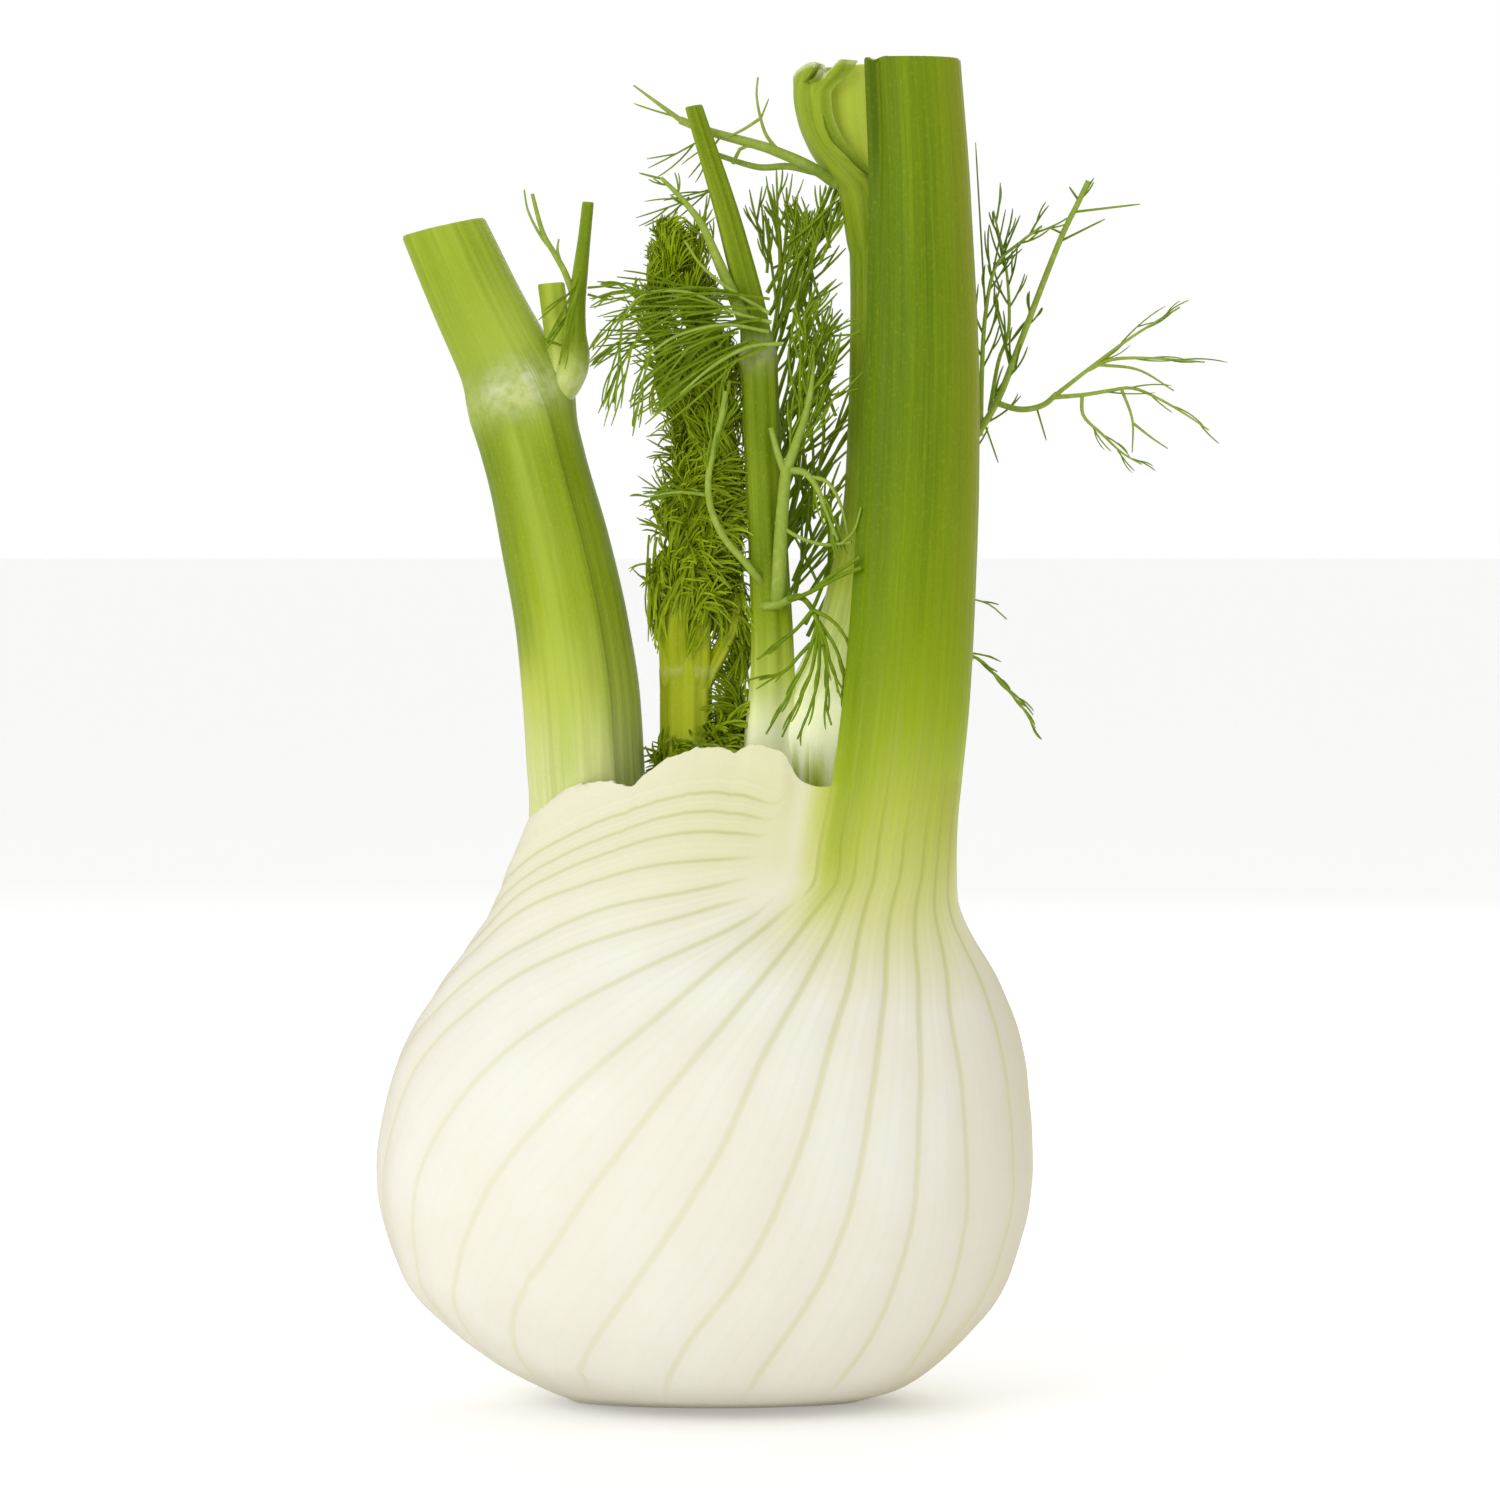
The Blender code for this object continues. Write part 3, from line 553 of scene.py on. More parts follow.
innerLeaf = {
    "midrib": 18.0, "turn": -1.0, "wrap": (-140.0, 150.0),
    "bellyEdges": (-75.0, 75.0), "stalkEdges": (110.0, -110.0), "gather": (44.0, 82.0), "wall": 3.6,
    "freeEdge": (
        (-140.0, 38.0), (-115.0, 48.0), (-90.0, 58.0), (-70.0, 67.0), (-50.0, 82.0),
        (50.0, 82.0), (70.0, 73.0), (95.0, 66.0), (125.0, 54.0), (150.0, 40.0),
    ),
    "stalk": (
        (44.0, 17.0, 4.0, 13.0, 10.0, 0.0), (66.0, 16.0, 5.0, 8.5, 6.0, 0.0),
        (82.0, 16.2, 1.6, 9.0, 5.6, 0.0), (94.0, 16.0, -1.2, 9.6, 6.0, 0.0),
        (101.0, 16.0, -1.6, 9.2, 6.0, 0.0), (106.0, 17.2, -0.6, 7.8, 5.6, 0.0),
        (112.0, 19.6, 1.4, 6.5, 5.0, 0.0), (122.0, 22.4, 3.8, 5.3, 4.4, 0.0),
        (140.0, 24.8, 5.8, 4.4, 3.8, 0.0), (167.0, 25.4, 5.8, 4.2, 3.6, 0.0),
        (184.0, 25.0, 5.4, 4.3, 3.6, 0.0),
    ),
    "columns": (40, 60, 44),
}
leaves = (outerLeaf, leftLeaf, innerLeaf)


def curveAt(keys, column, at):
    # a smooth curve through a short table that never overshoots it
    table = np.array(keys, float)
    x, y = table[:, 0], table[:, column]
    step = np.diff(x)
    slope = np.diff(y) / step
    tangent = np.zeros(len(x))
    tangent[0], tangent[-1] = slope[0], slope[-1]
    same = slope[:-1] * slope[1:] > 0
    near = 2 * step[1:] + step[:-1]
    far = step[1:] + 2 * step[:-1]
    low = np.where(same, slope[:-1], 1)
    high = np.where(same, slope[1:], 1)
    tangent[1:-1] = np.where(same, (near + far) / (near / low + far / high), 0)
    at = np.clip(np.asarray(at, float), x[0], x[-1])
    k = np.clip(np.searchsorted(x, at, side="right") - 1, 0, len(step) - 1)
    t = (at - x[k]) / step[k]
    return (y[k] * (1 + 2 * t) * (1 - t) ** 2 + tangent[k] * step[k] * t * (1 - t) ** 2
            + y[k + 1] * t * t * (3 - 2 * t) + tangent[k + 1] * step[k] * t * t * (t - 1))


def ease(t):
    t = np.clip(t, 0, 1)
    return t * t * (3 - 2 * t)


def climb(value, start, span):
    # 0 at start, 1 a span further on
    return ease((value - start) / span)


def fall(value, end, span):
    # 1 a span before the end, 0 at the end
    return ease((end - value) / span)


def bell(value, middle, reach):
    return np.exp(-(((value - middle) / reach) ** 2))


def blendTo(first, second, share):
    return first + (second - first) * share


def stack(x, y, z):
    return np.stack(np.broadcast_arrays(x, y, z), axis=-1)


def softened(grid, reach):
    # evens a grid out over its neighbours
    kernel = np.exp(-((np.arange(-2 * reach, 2 * reach + 1) / reach) ** 2))
    kernel /= kernel.sum()
    for axis in (0, 1):
        padded = np.pad(grid, [(2 * reach, 2 * reach) if k == axis else (0, 0) for k in (0, 1)],
            mode="reflect", reflect_type="odd")
        grid = np.apply_along_axis(lambda row: np.convolve(row, kernel, mode="valid"), axis, padded)
    return grid


def skinPoint(angle, height, depth):
    turn = np.radians(angle)
    halfWidth = curveAt(bulb["profile"], 2, height) - depth
    halfDepth = curveAt(bulb["profile"], 3, height) - depth
    x = curveAt(bulb["profile"], 1, height) + halfWidth * np.cos(turn)
    return stack(x, halfDepth * np.sin(turn), height)


def gatheredTurn(bellyTurn, height, gatherEnd):
    size = np.abs(bellyTurn)
    limit = bulb["gatherLimit"] * (1 - np.exp(-size / bulb["gatherRate"]))
    rise = np.clip((height - bulb["belly"]) / (gatherEnd - 14 - bulb["belly"]), 0, 1)
    return np.sign(bellyTurn) * blendTo(limit, size, 1 - rise**1.4)


def freeEdgeHeight(leaf, turn):
    return curveAt(leaf["freeEdge"], 1, turn)


def wallAt(leaf, turn, height, edge):
    first, last = leaf["wrap"]
    rampTurn, rampHeight = bulb["edgeRamp"]
    inside = np.minimum((turn - first) / rampTurn, (last - turn) / rampTurn)
    inside = np.minimum(inside, (freeEdgeHeight(leaf, turn) - height) / rampHeight)
    root = blendTo(bulb["rootShare"], 1, ease(height / bulb["rootHeight"]))
    return blendTo(edge, leaf["wall"] * root, ease(inside))


def layerDepth(index, angle, height):
    depth = 0.0
    for leaf in leaves[:index]:
        middle = sum(leaf["wrap"]) / 2
        turn = ((angle - leaf["midrib"]) * leaf["turn"] - middle + 180) % 360 - 180 + middle
        depth = depth + wallAt(leaf, turn, height, bulb["edgeWall"]) + bulb["layerGap"]
    return depth


def sectionPoint(sections, height, angle, scale=1):
    x, y, halfWidth, halfDepth, lean = (curveAt(sections, k, height) for k in range(1, 6))
    turn, tilt = np.radians(angle), np.radians(lean)
    across = halfWidth * scale * np.cos(turn)
    return stack(x + across * np.cos(tilt), y + halfDepth * scale * np.sin(turn),
                 height + across * np.sin(tilt))


def leafFaces(index, rowCount, stalkStep, raggedEdge):
    # the leaf's outer and inner face as two grids: the base, and the stalk that goes on above it
    leaf = leaves[index]
    backCount, stalkCount, frontCount = leaf["columns"]
    gatherStart, gatherEnd = leaf["gather"]
    backBelly, frontBelly = leaf["bellyEdges"]
    backStalk, frontStalk = leaf["stalkEdges"]
    facing = leaf["midrib"] if leaf["turn"] < 0 else 180.0
    rows = np.linspace(0, 1, rowCount) ** 1.2
    stalkTop = leaf["stalk"][-1][0]
    extra = np.arange(gatherEnd + stalkStep, stalkTop - 0.4, stalkStep)
    extra = np.append(extra, (stalkTop - 0.35, stalkTop))

    def basePoint(turn, height, inner):
        angle = leaf["midrib"] + leaf["turn"] * turn
        depth = layerDepth(index, angle, height)
        if inner:
            depth = depth + wallAt(leaf, turn, height, bulb["seenEdgeWall"])
        return skinPoint(angle, height, depth)

    def ringPoint(share, height, inner):
        if inner:
            low, high = leaf.get("closed", (300, 301))
            closing = ease((height - low) / (high - low))
            tuck = blendTo(5, 0.15, closing)
            angle = blendTo(backStalk - tuck, frontStalk + 360.0 + tuck, share)
            hollow = blendTo(0.94 - 0.16 * np.sin(math.pi * share), 0.999, closing)
        else:
            angle = blendTo(backStalk, frontStalk, share)
            hollow = 1.0
        hollow = hollow * np.where(height >= stalkTop - 0.01, 0.965, 1)  # the cut edge is eased
        return sectionPoint(leaf["stalk"], height, facing - leaf["turn"] * angle, hollow)

    def stalkColumns(share, height, inner):
        belly = blendTo(backBelly, frontBelly, share)
        low = basePoint(gatheredTurn(belly, height, gatherEnd), height, inner)
        rolled = ease((height - gatherStart) / (gatherEnd - gatherStart))
        return blendTo(low, ringPoint(share, height, inner), np.asarray(rolled)[..., None])

    def sideColumns(count, farTurn, nearShare, inner):
        share = (np.arange(1, count + 1) / count)[:, None]
        belly = blendTo(backBelly, frontBelly, nearShare)
        topTurn = gatheredTurn(belly, gatherEnd, gatherEnd)
        topAt = blendTo(topTurn, farTurn, share)
        top = freeEdgeHeight(leaf, topAt)
        wave = 0 * top[:, 0]
        if raggedEdge:
            wave = sum(strength * np.array([noise.noise(Vector((t * pitch, index, row)))
                for t in topAt[:, 0]]) for pitch, row, strength in ((0.11, 0, 1.1), (0.42, 5, 0.8),
                (1.3, 9, 0.35)))
            if "lip" in leaf and nearShare > 0.5:
                onLip = fall(topAt, 170, 14)
                for _ in range(4):
                    point = basePoint(topAt, top, inner)
                    pull = np.maximum(0, 1 - share / 0.3) ** 2
                    edge = stalkColumns(np.full_like(top, nearShare), top, inner)
                    point = point + (edge - basePoint(topTurn + 0 * top, top, inner)) * pull[..., None]
                    top = blendTo(top, curveAt(leaf["lip"], 1, point[..., 0]), onLip)
                wave = wave * 0.45 * climb(topAt[:, 0], 72, 6)
            else:
                wave = wave * ease(share[:, 0] / 0.12) * raggedEdge
        kernel = np.exp(-((np.arange(-24, 25) / 12) ** 2))
        even = np.convolve(np.pad(top[:, 0], 24, mode="edge"), kernel / kernel.sum(), mode="valid")
        even = blendTo(gatherEnd, even, ease(share[:, 0] / 0.06))[:, None]
        height = even * rows + (top - even + wave[:, None]) * rows**14
        nearTurn = gatheredTurn(belly, height, gatherEnd)
        turn = blendTo(nearTurn, farTurn, share)
        point = basePoint(turn, height, inner)
        pull = np.maximum(0, 1 - share / 0.3) ** 2 * (height > gatherStart)
        edge = stalkColumns(np.full_like(height, nearShare), height, inner)
        point = point + (edge - basePoint(nearTurn, height, inner)) * pull[..., None]
        return point, turn, blendTo(belly, farTurn, share) + 0 * height, height

    stalkShare = np.linspace(0, 1, stalkCount + 1)[:, None]
    # shares run from -1 at the back edge, 0..1 over the stalk, to 2 at the front edge
    shares = np.concatenate([-np.arange(backCount, 0, -1) / backCount, stalkShare[:, 0],
        1 + np.arange(1, frontCount + 1) / frontCount])
    faces = []
    for inner in (False, True):
        back = sideColumns(backCount, leaf["wrap"][0], 0, inner)
        front = sideColumns(frontCount, leaf["wrap"][1], 1, inner)
        height = gatherEnd * rows + 0 * stalkShare
        belly = blendTo(backBelly, frontBelly, stalkShare) + 0 * height
        middle = (stalkColumns(stalkShare + 0 * height, height, inner),
                  gatheredTurn(belly, height, gatherEnd), belly, height)
        base = [np.concatenate([b[::-1], m, f]) for b, m, f in zip(back, middle, front)]
        stalkHeight = extra + 0 * stalkShare
        stalk = ringPoint(stalkShare + 0 * stalkHeight, stalkHeight, inner)
        if "crease" in leaf and not inner:
            # the hollow between hood and stalk is filled, so that one runs into the other
            place, reach, start = leaf["crease"]
            for _ in range(2):
                fill = np.minimum(softened(base[0][..., 1], 12) - base[0][..., 1], 0)
                fill = fill * bell(shares[:, None], place, reach) * ease((base[3] - start) / 14)
                base[0][..., 1] += fill
                onStalk = fill[backCount:backCount + stalkCount + 1, -1:]
                stalk[..., 1] += onStalk * (1 - ease((stalkHeight - gatherEnd) / 16))
        faces.append({"base": base[0], "turn": base[1], "belly": base[2], "height": base[3],
                      "stalk": stalk, "stalkHeight": stalkHeight, "share": stalkShare})
    return faces[0], faces[1], shares


def gridNormals(points):
    along = np.gradient(points, axis=1)
    across = np.gradient(points, axis=0)
    normal = np.cross(across, along)
    return normal / np.maximum(np.linalg.norm(normal, axis=-1, keepdims=True), 1e-9)


def outwardSign(points, normals):
    spread = points - points.mean(axis=(0, 1))
    return 1.0 if (spread * normals).sum() > 0 else -1.0


def quadsOf(index, flip=False):
    a, b, c, d = index[:-1, :-1], index[1:, :-1], index[1:, 1:], index[:-1, 1:]
    quads = np.stack([a, b, c, d], axis=-1).reshape(-1, 4)
    return quads[:, ::-1] if flip else quads


def meshObject(name, verts, faces, fields, materials, slots=None):
    # verts in millimetres; faces as lists of indices; fields as one number for each vertex
    mesh = bpy.data.meshes.new(name)
    mesh.from_pydata((np.asarray(verts) * mm).tolist(), [], [list(map(int, face)) for face in faces])
    for material in materials:
        mesh.materials.append(material)
    if slots is not None:
        mesh.polygons.foreach_set("material_index", np.asarray(slots, np.int32))
    for key, values in fields.items():
        data = mesh.attributes.new(key, "FLOAT", "POINT")
        data.data.foreach_set("value", np.asarray(values, np.float32))
    work = bmesh.new()
    work.from_mesh(mesh)
    bmesh.ops.recalc_face_normals(work, faces=work.faces)
    work.to_mesh(mesh)
    work.free()
    mesh.shade_smooth()
    mesh.set_sharp_from_angle(angle=math.radians(48))
    made = bpy.data.objects.new(name, mesh)
    bpy.context.scene.collection.objects.link(made)
    return made


def leafObject(name, index, outer, inner, shares, fieldMaker, relief, materials):
    # joins the two faces round every border and cuts the stalk off flat
    leaf = leaves[index]
    backCount, stalkCount = leaf["columns"][:2]
    stalkColumns = slice(backCount, backCount + stalkCount + 1)
    normals = gridNormals(outer["base"])
    tall = np.concatenate([outer["base"][stalkColumns], outer["stalk"]], axis=1)
    tallNormals = gridNormals(tall)
    sign = outwardSign(outer["base"], normals)
    rowCount = outer["base"].shape[1]
    fields = fieldMaker(outer, shares)
    baseLift, stalkLift = relief(outer, shares, fields)
    base = outer["base"] + normals * sign * baseLift[..., None]
    stalk = outer["stalk"] + tallNormals[:, rowCount:] * sign * stalkLift[..., None]
    base[..., 2] = np.maximum(base[..., 2], 0)

    grids = [base, stalk, inner["base"], inner["stalk"]]
    counts = np.cumsum([0] + [g[..., 0].size for g in grids])
    ids = [np.arange(a, b).reshape(g.shape[:2]) for a, b, g in zip(counts, counts[1:], grids)]
    verts = [g.reshape(-1, 3) for g in grids]
    talls = [np.concatenate([ids[k][stalkColumns, -1:], ids[k + 1]], axis=1) for k in (0, 2)]
    faces = [quadsOf(ids[0]), quadsOf(talls[0]), quadsOf(ids[2], True), quadsOf(talls[1], True)]

    borders = [(ids[0][part], ids[2][part]) for part in
               (np.s_[:, 0], 0, -1, np.s_[:backCount + 1, -1], np.s_[backCount + stalkCount:, -1])]
    borders += [(talls[0][end], talls[1][end]) for end in (0, -1)]
    faces += [quadsOf(np.stack(pair, axis=1)) for pair in borders]
    skinCount = sum(len(f) for f in faces)

    # the cut end, a little sunk in its middle
    rimOut, rimIn = talls[0][:, -1], talls[1][:, -1]
    outPoints, inPoints = stalk[1:-1, -1], inner["stalk"][1:-1, -1]
    steps = np.linspace(0, 1, 8)[1:-1]
    mids = blendTo(outPoints[:, None], inPoints[:, None], steps[None, :, None])
    mids[..., 2] -= 0.35 * np.sin(math.pi * steps)[None, :]
    midIds = counts[-1] + np.arange(mids[..., 0].size).reshape(mids.shape[:2])
    verts.append(mids.reshape(-1, 3))
    capGrid = np.concatenate([rimOut[1:-1, None], midIds, rimIn[1:-1, None]], axis=1)
    cut = [list(q) for q in quadsOf(capGrid)]
    cut.append([rimOut[0], rimOut[1], *midIds[0], rimIn[1], rimIn[0]])
    cut.append([rimOut[-1], rimOut[-2], *midIds[-1], rimIn[-2], rimIn[-1]])

    flat = {}
    for key, values in fields.items():
        flat[key] = np.concatenate([value.ravel() for value in values] + [np.zeros(mids[..., 0].size)])
    allFaces = [face for block in faces for face in block.tolist()] + cut
    slots = [0] * skinCount + [1] * len(cut)
    return meshObject(name, np.concatenate(verts), allFaces, flat, materials, slots)


def roughness(points, scale):
    # smooth noise at every point of a grid
    values = [noise.noise(Vector(point) * scale) for point in points.reshape(-1, 3)]
    return np.array(values).reshape(points.shape[:2])


def acrossLeaf(shares, height):
    # each point's share across the leaf, whether the stalk is above it, and how far past the stalk
    share = np.broadcast_to(shares[:, None], height.shape)
    past = np.where(share > 1, share - 1, np.where(share < 0, -share, 0))
    return share, (share >= 0) & (share <= 1), past


def spreadGap(points, vein):
    # millimetres from one vein to the next, from how fast the vein number changes
    veinAcross, veinAlong = np.gradient(vein, axis=0), np.gradient(vein, axis=1)
    across, along = np.gradient(points, axis=0), np.gradient(points, axis=1)
    e, f, g = (across**2).sum(-1), (across * along).sum(-1), (along**2).sum(-1)
    slope = (g * veinAcross**2 - 2 * f * veinAcross * veinAlong + e * veinAlong**2)
    return 1 / np.sqrt(np.maximum(slope / np.maximum(e * g - f * f, 1e-9), 1e-6))


# the outer leaf: its veins sweep round the bulb and gather into the stalk

# height of the pale lip at the front, by x
outerLeaf["lip"] = ((-27, 88.6), (-24, 91), (-20, 93.6), (-16, 94.6), (-13.4, 94.3), (-11, 93.9),
    (-9.4, 95.4), (-7.6, 96.6), (-5.2, 98.4), (-2.7, 99.1), (2.3, 99.8), (3.6, 99.7), (4.6, 98.9),
    (5.4, 99.6), (6.8, 100.2), (9.4, 99.8), (11.8, 98.9), (12.8, 97.2), (13.8, 95.3), (15.4, 94.3),
    (17.4, 93.9), (22, 94),)
outerVeins = {
    # vein number: turn from the stalk's side and height, from the root up
    "routes": {
        1: ((28, 0), (31, 8), (35, 17), (37, 35), (37, 50), (36, 62), (29, 71), (26, 80), (24, 96)),
        2: ((57, 0), (54, 8), (52, 16), (50, 34), (48, 50), (44, 64), (34, 78), (31, 86), (30, 96)),
        3: ((84, 0), (76, 9), (68, 20), (62, 36), (57, 56), (51, 68), (43, 78), (36, 92), (35, 98)),
        4: ((108, 0), (94, 11), (81, 24), (72, 42), (66, 58), (58, 70), (52, 78), (46, 92), (44, 98)),
        5: ((133, 0), (117, 10), (103, 19), (87, 39), (79, 56), (70, 67), (60, 76), (55, 88), (53, 98)),
        6: ((153, 0), (138, 9), (120, 22), (106, 37), (95, 51), (84, 63), (70, 74), (61, 82), (59, 98)),
        7: ((170, 0), (153, 11), (140, 21), (121, 42), (108, 54), (91, 67), (75, 76), (66, 82), (63, 98)),
        8: ((184, 0), (165, 11), (152, 25), (141, 43), (126, 57), (107, 67), (82, 75), (74, 80)),
        9: ((196, 2), (180, 16), (167, 36), (158, 52), (139, 65), (117, 72), (95, 76), (80, 79)),
        10: ((206, 6), (196, 26), (182, 48), (162, 61), (144, 69), (124, 75), (102, 78), (83, 81)),
        11: ((214, 20), (200, 40), (186, 55), (170, 67), (154, 74), (130, 79), (109, 82), (84, 83)),
        12: ((216, 38), (200, 56), (184, 66), (162, 75), (140, 81), (118, 85.5), (102, 87.3), (85, 87)),
        13: ((216, 52), (202, 64), (184, 72), (164, 78), (137, 84), (114, 89), (100, 90.2), (87, 89.5)),
        14: ((216, 60), (200, 70), (180, 77), (152, 83), (128, 88.6), (107, 92), (94, 92.4), (85, 91)),
        15: ((216, 70), (198, 78), (178, 84), (152, 88.5), (128, 93), (107, 95.6), (92, 96), (84, 94.5)),
        16: ((216, 80), (198, 86), (178, 90), (152, 94), (128, 98), (107, 101), (92, 102), (84, 99)),
    },
    "backTurns": 17,
}


def roundSpan(p0, p1, p2, p3, t):
    # a round curve from p1 at t = 0 to p2 at t = 1
    bend, turn = 2 * p0 - 5 * p1 + 4 * p2 - p3, 3 * p1 - p0 - 3 * p2 + p3
    return 0.5 * (2 * p1 + (p2 - p0) * t + bend * t**2 + turn * t**3)


def smoothRoute(points, count):
    # a round curve through the points, evenly stepped
    points = np.asarray(points, float)
    ends = np.vstack([2 * points[0] - points[1], points, 2 * points[-1] - points[-2]])
    out = []
    for k in range(1, len(ends) - 2):
        p0, p1, p2, p3 = ends[k - 1:k + 3]
        t = np.linspace(0, 1, 24, endpoint=False)[:, None]
        out.append(roundSpan(p0, p1, p2, p3, t))
    out.append(points[-1:])
    fine = np.vstack(out)
    run = np.concatenate([[0], np.cumsum(np.linalg.norm(np.diff(fine, axis=0), axis=1))])
    at = np.linspace(0, run[-1], count)
    return np.stack([np.interp(at, run, fine[:, k]) for k in range(points.shape[1])], axis=1)


def veinNumbers(turn, height):
    # which vein runs through each place, read from a fine net laid over all the routes
    weight = 0.8
    routes = dict(outerVeins["routes"])
    for k in range(-9, 1):
        belly = 37.0 + (k - 1) * outerVeins["backTurns"]
        heights = np.array([0, 10, 22, 35, 48, 60, 70, 80, 96])
        turns = gatheredTurn(belly, heights, outerLeaf["gather"][1])
        routes[k] = np.stack([turns, heights], axis=1)
    numbers = sorted(routes)
    net = np.array([smoothRoute(np.asarray(routes[k], float) * (weight, 1), 150) for k in numbers])
    steps = 40
    tree = kdtree.KDTree((len(numbers) - 1) * steps * net.shape[1])
    values = []
    for k in range(len(numbers) - 1):
        p0, p1 = net[max(k - 1, 0)], net[k]
        p2, p3 = net[k + 1], net[min(k + 2, len(numbers) - 1)]
        for s in range(steps):
            t = s / steps
            row = roundSpan(p0, p1, p2, p3, t)
            for x, z in row:
                tree.insert((x, z, 0), len(values))
                values.append(numbers[k] + t)
    tree.balance()
    values = np.array(values)
    found = np.empty(turn.size)
    flatTurn, flatHeight = turn.ravel() * weight, height.ravel()
    for k in range(turn.size):
        near = tree.find_n((flatTurn[k], flatHeight[k], 0), 5)
        pull = np.array([1 / (d * d + 0.02) for _, _, d in near])
        found[k] = (values[[i for _, i, _ in near]] * pull).sum() / pull.sum()
    return found.reshape(turn.shape)


def outerTone(outer):
    # long lighter and darker bands up the stalk, seen from the front left to right: partly the stalk's
    # own streaks, partly painted light and shade, with a soft painted highlight in the light band
    angle = np.radians(blendTo(*outerLeaf["stalkEdges"], outer["share"]))
    seen = np.cos(angle)
    height = outer["stalkHeight"]

    def band(middle, wide):
        return bell(seen, middle, wide) * (np.sin(angle) < 0.2)

    tone = -0.5 * band(-0.80, 0.24) + 0.36 * band(-0.70, 0.035) - 0.16 * band(-0.45, 0.16)
    tone = tone + 0.16 * band(-0.12, 0.10) - 0.14 * band(0.16, 0.08) + 0.12 * band(0.42, 0.1)
    # painted shade in the concave facet below the cut end
    facetShade = band(-0.83, 0.13) * climb(height, 176, 18)
    return tone * climb(height, 106, 26) - 0.35 * facetShade


def outerFields(outer, shares):
    base, height, turn = outer["base"], outer["height"], outer["turn"]
    # the veins follow where each point is seen from the front, even where the stalk stands proud
    centre = curveAt(bulb["profile"], 1, height)
    halfWidth = curveAt(bulb["profile"], 2, height)
    seen = np.degrees(np.arccos(np.clip((base[..., 0] - centre) / halfWidth, -1, 1)))
    onFront = climb(turn, 6, 14) * fall(turn, 168, 14)
    vein = softened(veinNumbers(blendTo(turn, seen, onFront), height), 3)
    vein = vein - 0.12 * onFront
    share, onStalk, past = acrossLeaf(shares, height)
    # above this height each column of the stalk keeps the vein number that it has there
    held = np.array([np.interp(80, h, v) for h, v in zip(height, vein)])
    held = np.convolve(np.pad(held, 4, mode="edge"), np.full(9, 1 / 9), mode="valid")
    up = climb(height, 77, 9) * onStalk
    vein = blendTo(vein, held[:, None], up)
    stalkHeight, stalkShare = outer["stalkHeight"], outer["share"]
    first, count = outerLeaf["columns"][:2]
    onColumns = slice(first, first + count + 1)
    veinStalk = held[onColumns, None] + 0 * stalkHeight
    tall = np.concatenate([base[onColumns], outer["stalk"]], axis=1)
    tallVein = np.concatenate([vein[onColumns], veinStalk], axis=1)
    gap = np.clip(spreadGap(base, vein), 0.3, 30)
    gapStalk = np.clip(spreadGap(tall, tallVein), 0.3, 30)[:, base.shape[1]:]

    def startOfGreen(at):
        # the green starts lower in the middle of the stalk than at its edges
        return 60 + 14 * np.abs(at - 0.62) ** 1.5 * 2.2

    greenSpan = 143.0
    fade = np.where(onStalk, 1, 1 - ease(past / 0.06))
    green = np.clip((height - startOfGreen(np.clip(share, 0, 1))) / greenSpan, 0, 1) * fade
    hood = climb(height, 64, 22) * 0.040 + climb(height, 74, 14) * fall(share, 1.5, 0.4) * 0.022
    hood = climb(share, 0.98, 0.10) * hood
    strip = bell(share, 0.92, 0.11) * climb(height, 70, 16) * fall(share, 1.02, 0.08)
    green = green + hood + 0.10 * strip
    evenGreen = np.clip((stalkHeight - 60) / greenSpan, 0, 1)
    lowGreen = np.clip((stalkHeight - startOfGreen(stalkShare)) / greenSpan, 0, 1)
    greenStalk = blendTo(lowGreen, evenGreen, climb(stalkHeight, 94, 20))
    greenStalk = greenStalk + 0.10 * (bell(stalkShare, 0.92, 0.11) * (1 - climb(stalkHeight, 104, 26)))

    # ink fades at the root, on the smooth hood beside the stalk, and up the stalk
    ink = climb(height, 1.5, 7) * np.where(onStalk, 1 - 0.3 * climb(height, 84, 10), 1)
    ink = ink * blendTo(1.15, 0.72, climb(turn, 60, 60))
    inkStalk = 0.8 * (1 - climb(stalkHeight, 92, 24)) + 0 * stalkShare
    fadeAt = 10.2 - 6.0 * fall(height, 94, 16)
    smoothHood = ease((base[..., 0] - fadeAt + 5) / 9) * climb(height, 73, 6) * (share > 1)
    ink = ink * (1 - smoothHood) * blendTo(0.72, 1, climb(height, 30, 40))
    ink = ink * (1 - climb(vein, 14.6, 0.4))

    def olive(at, reach):
        angle = blendTo(*outerLeaf["stalkEdges"], at)
        return bell(angle, -16, reach)

    oliveBase = 0.6 * olive(np.clip(share, 0, 1), 30) * climb(height, 72, 20) * onStalk
    across, acrossBase = stalkShare * 36.0 + 0 * stalkHeight, np.clip(share, -1, 2) * 36.0
    # painted shade, warm in tint, on the bulb's lower right and back side, away from the key light
    warmShade = fall(turn, 58, 70) * (1 - climb(height, 62, 16))
    side = bell(turn, -26, 20) * climb(height, 42, 26) * fall(height, 92, 16)
    zero, zeroStalk = np.zeros_like(height), np.zeros_like(stalkHeight)
    return {
        "vein": (vein, veinStalk, zero, zeroStalk),
        "gap": (gap, gapStalk, zero + 10, zeroStalk + 1),
        "ink": (ink, inkStalk, zero, zeroStalk),
        "tone": (zero, outerTone(outer), zero, zeroStalk - 0.35),
        "warmShade": (warmShade, zeroStalk, warmShade, zeroStalk),
        "green": (green, greenStalk, green * 0.8, greenStalk),
        "rise": (height, stalkHeight, height, stalkHeight),
        "across": (acrossBase, across, acrossBase + 70, across + 70),
        "olive": (oliveBase, olive(stalkShare, 34) * climb(stalkHeight, 100, 30), zero, zeroStalk),
        "side": (side, zeroStalk, zero, zeroStalk),
    }


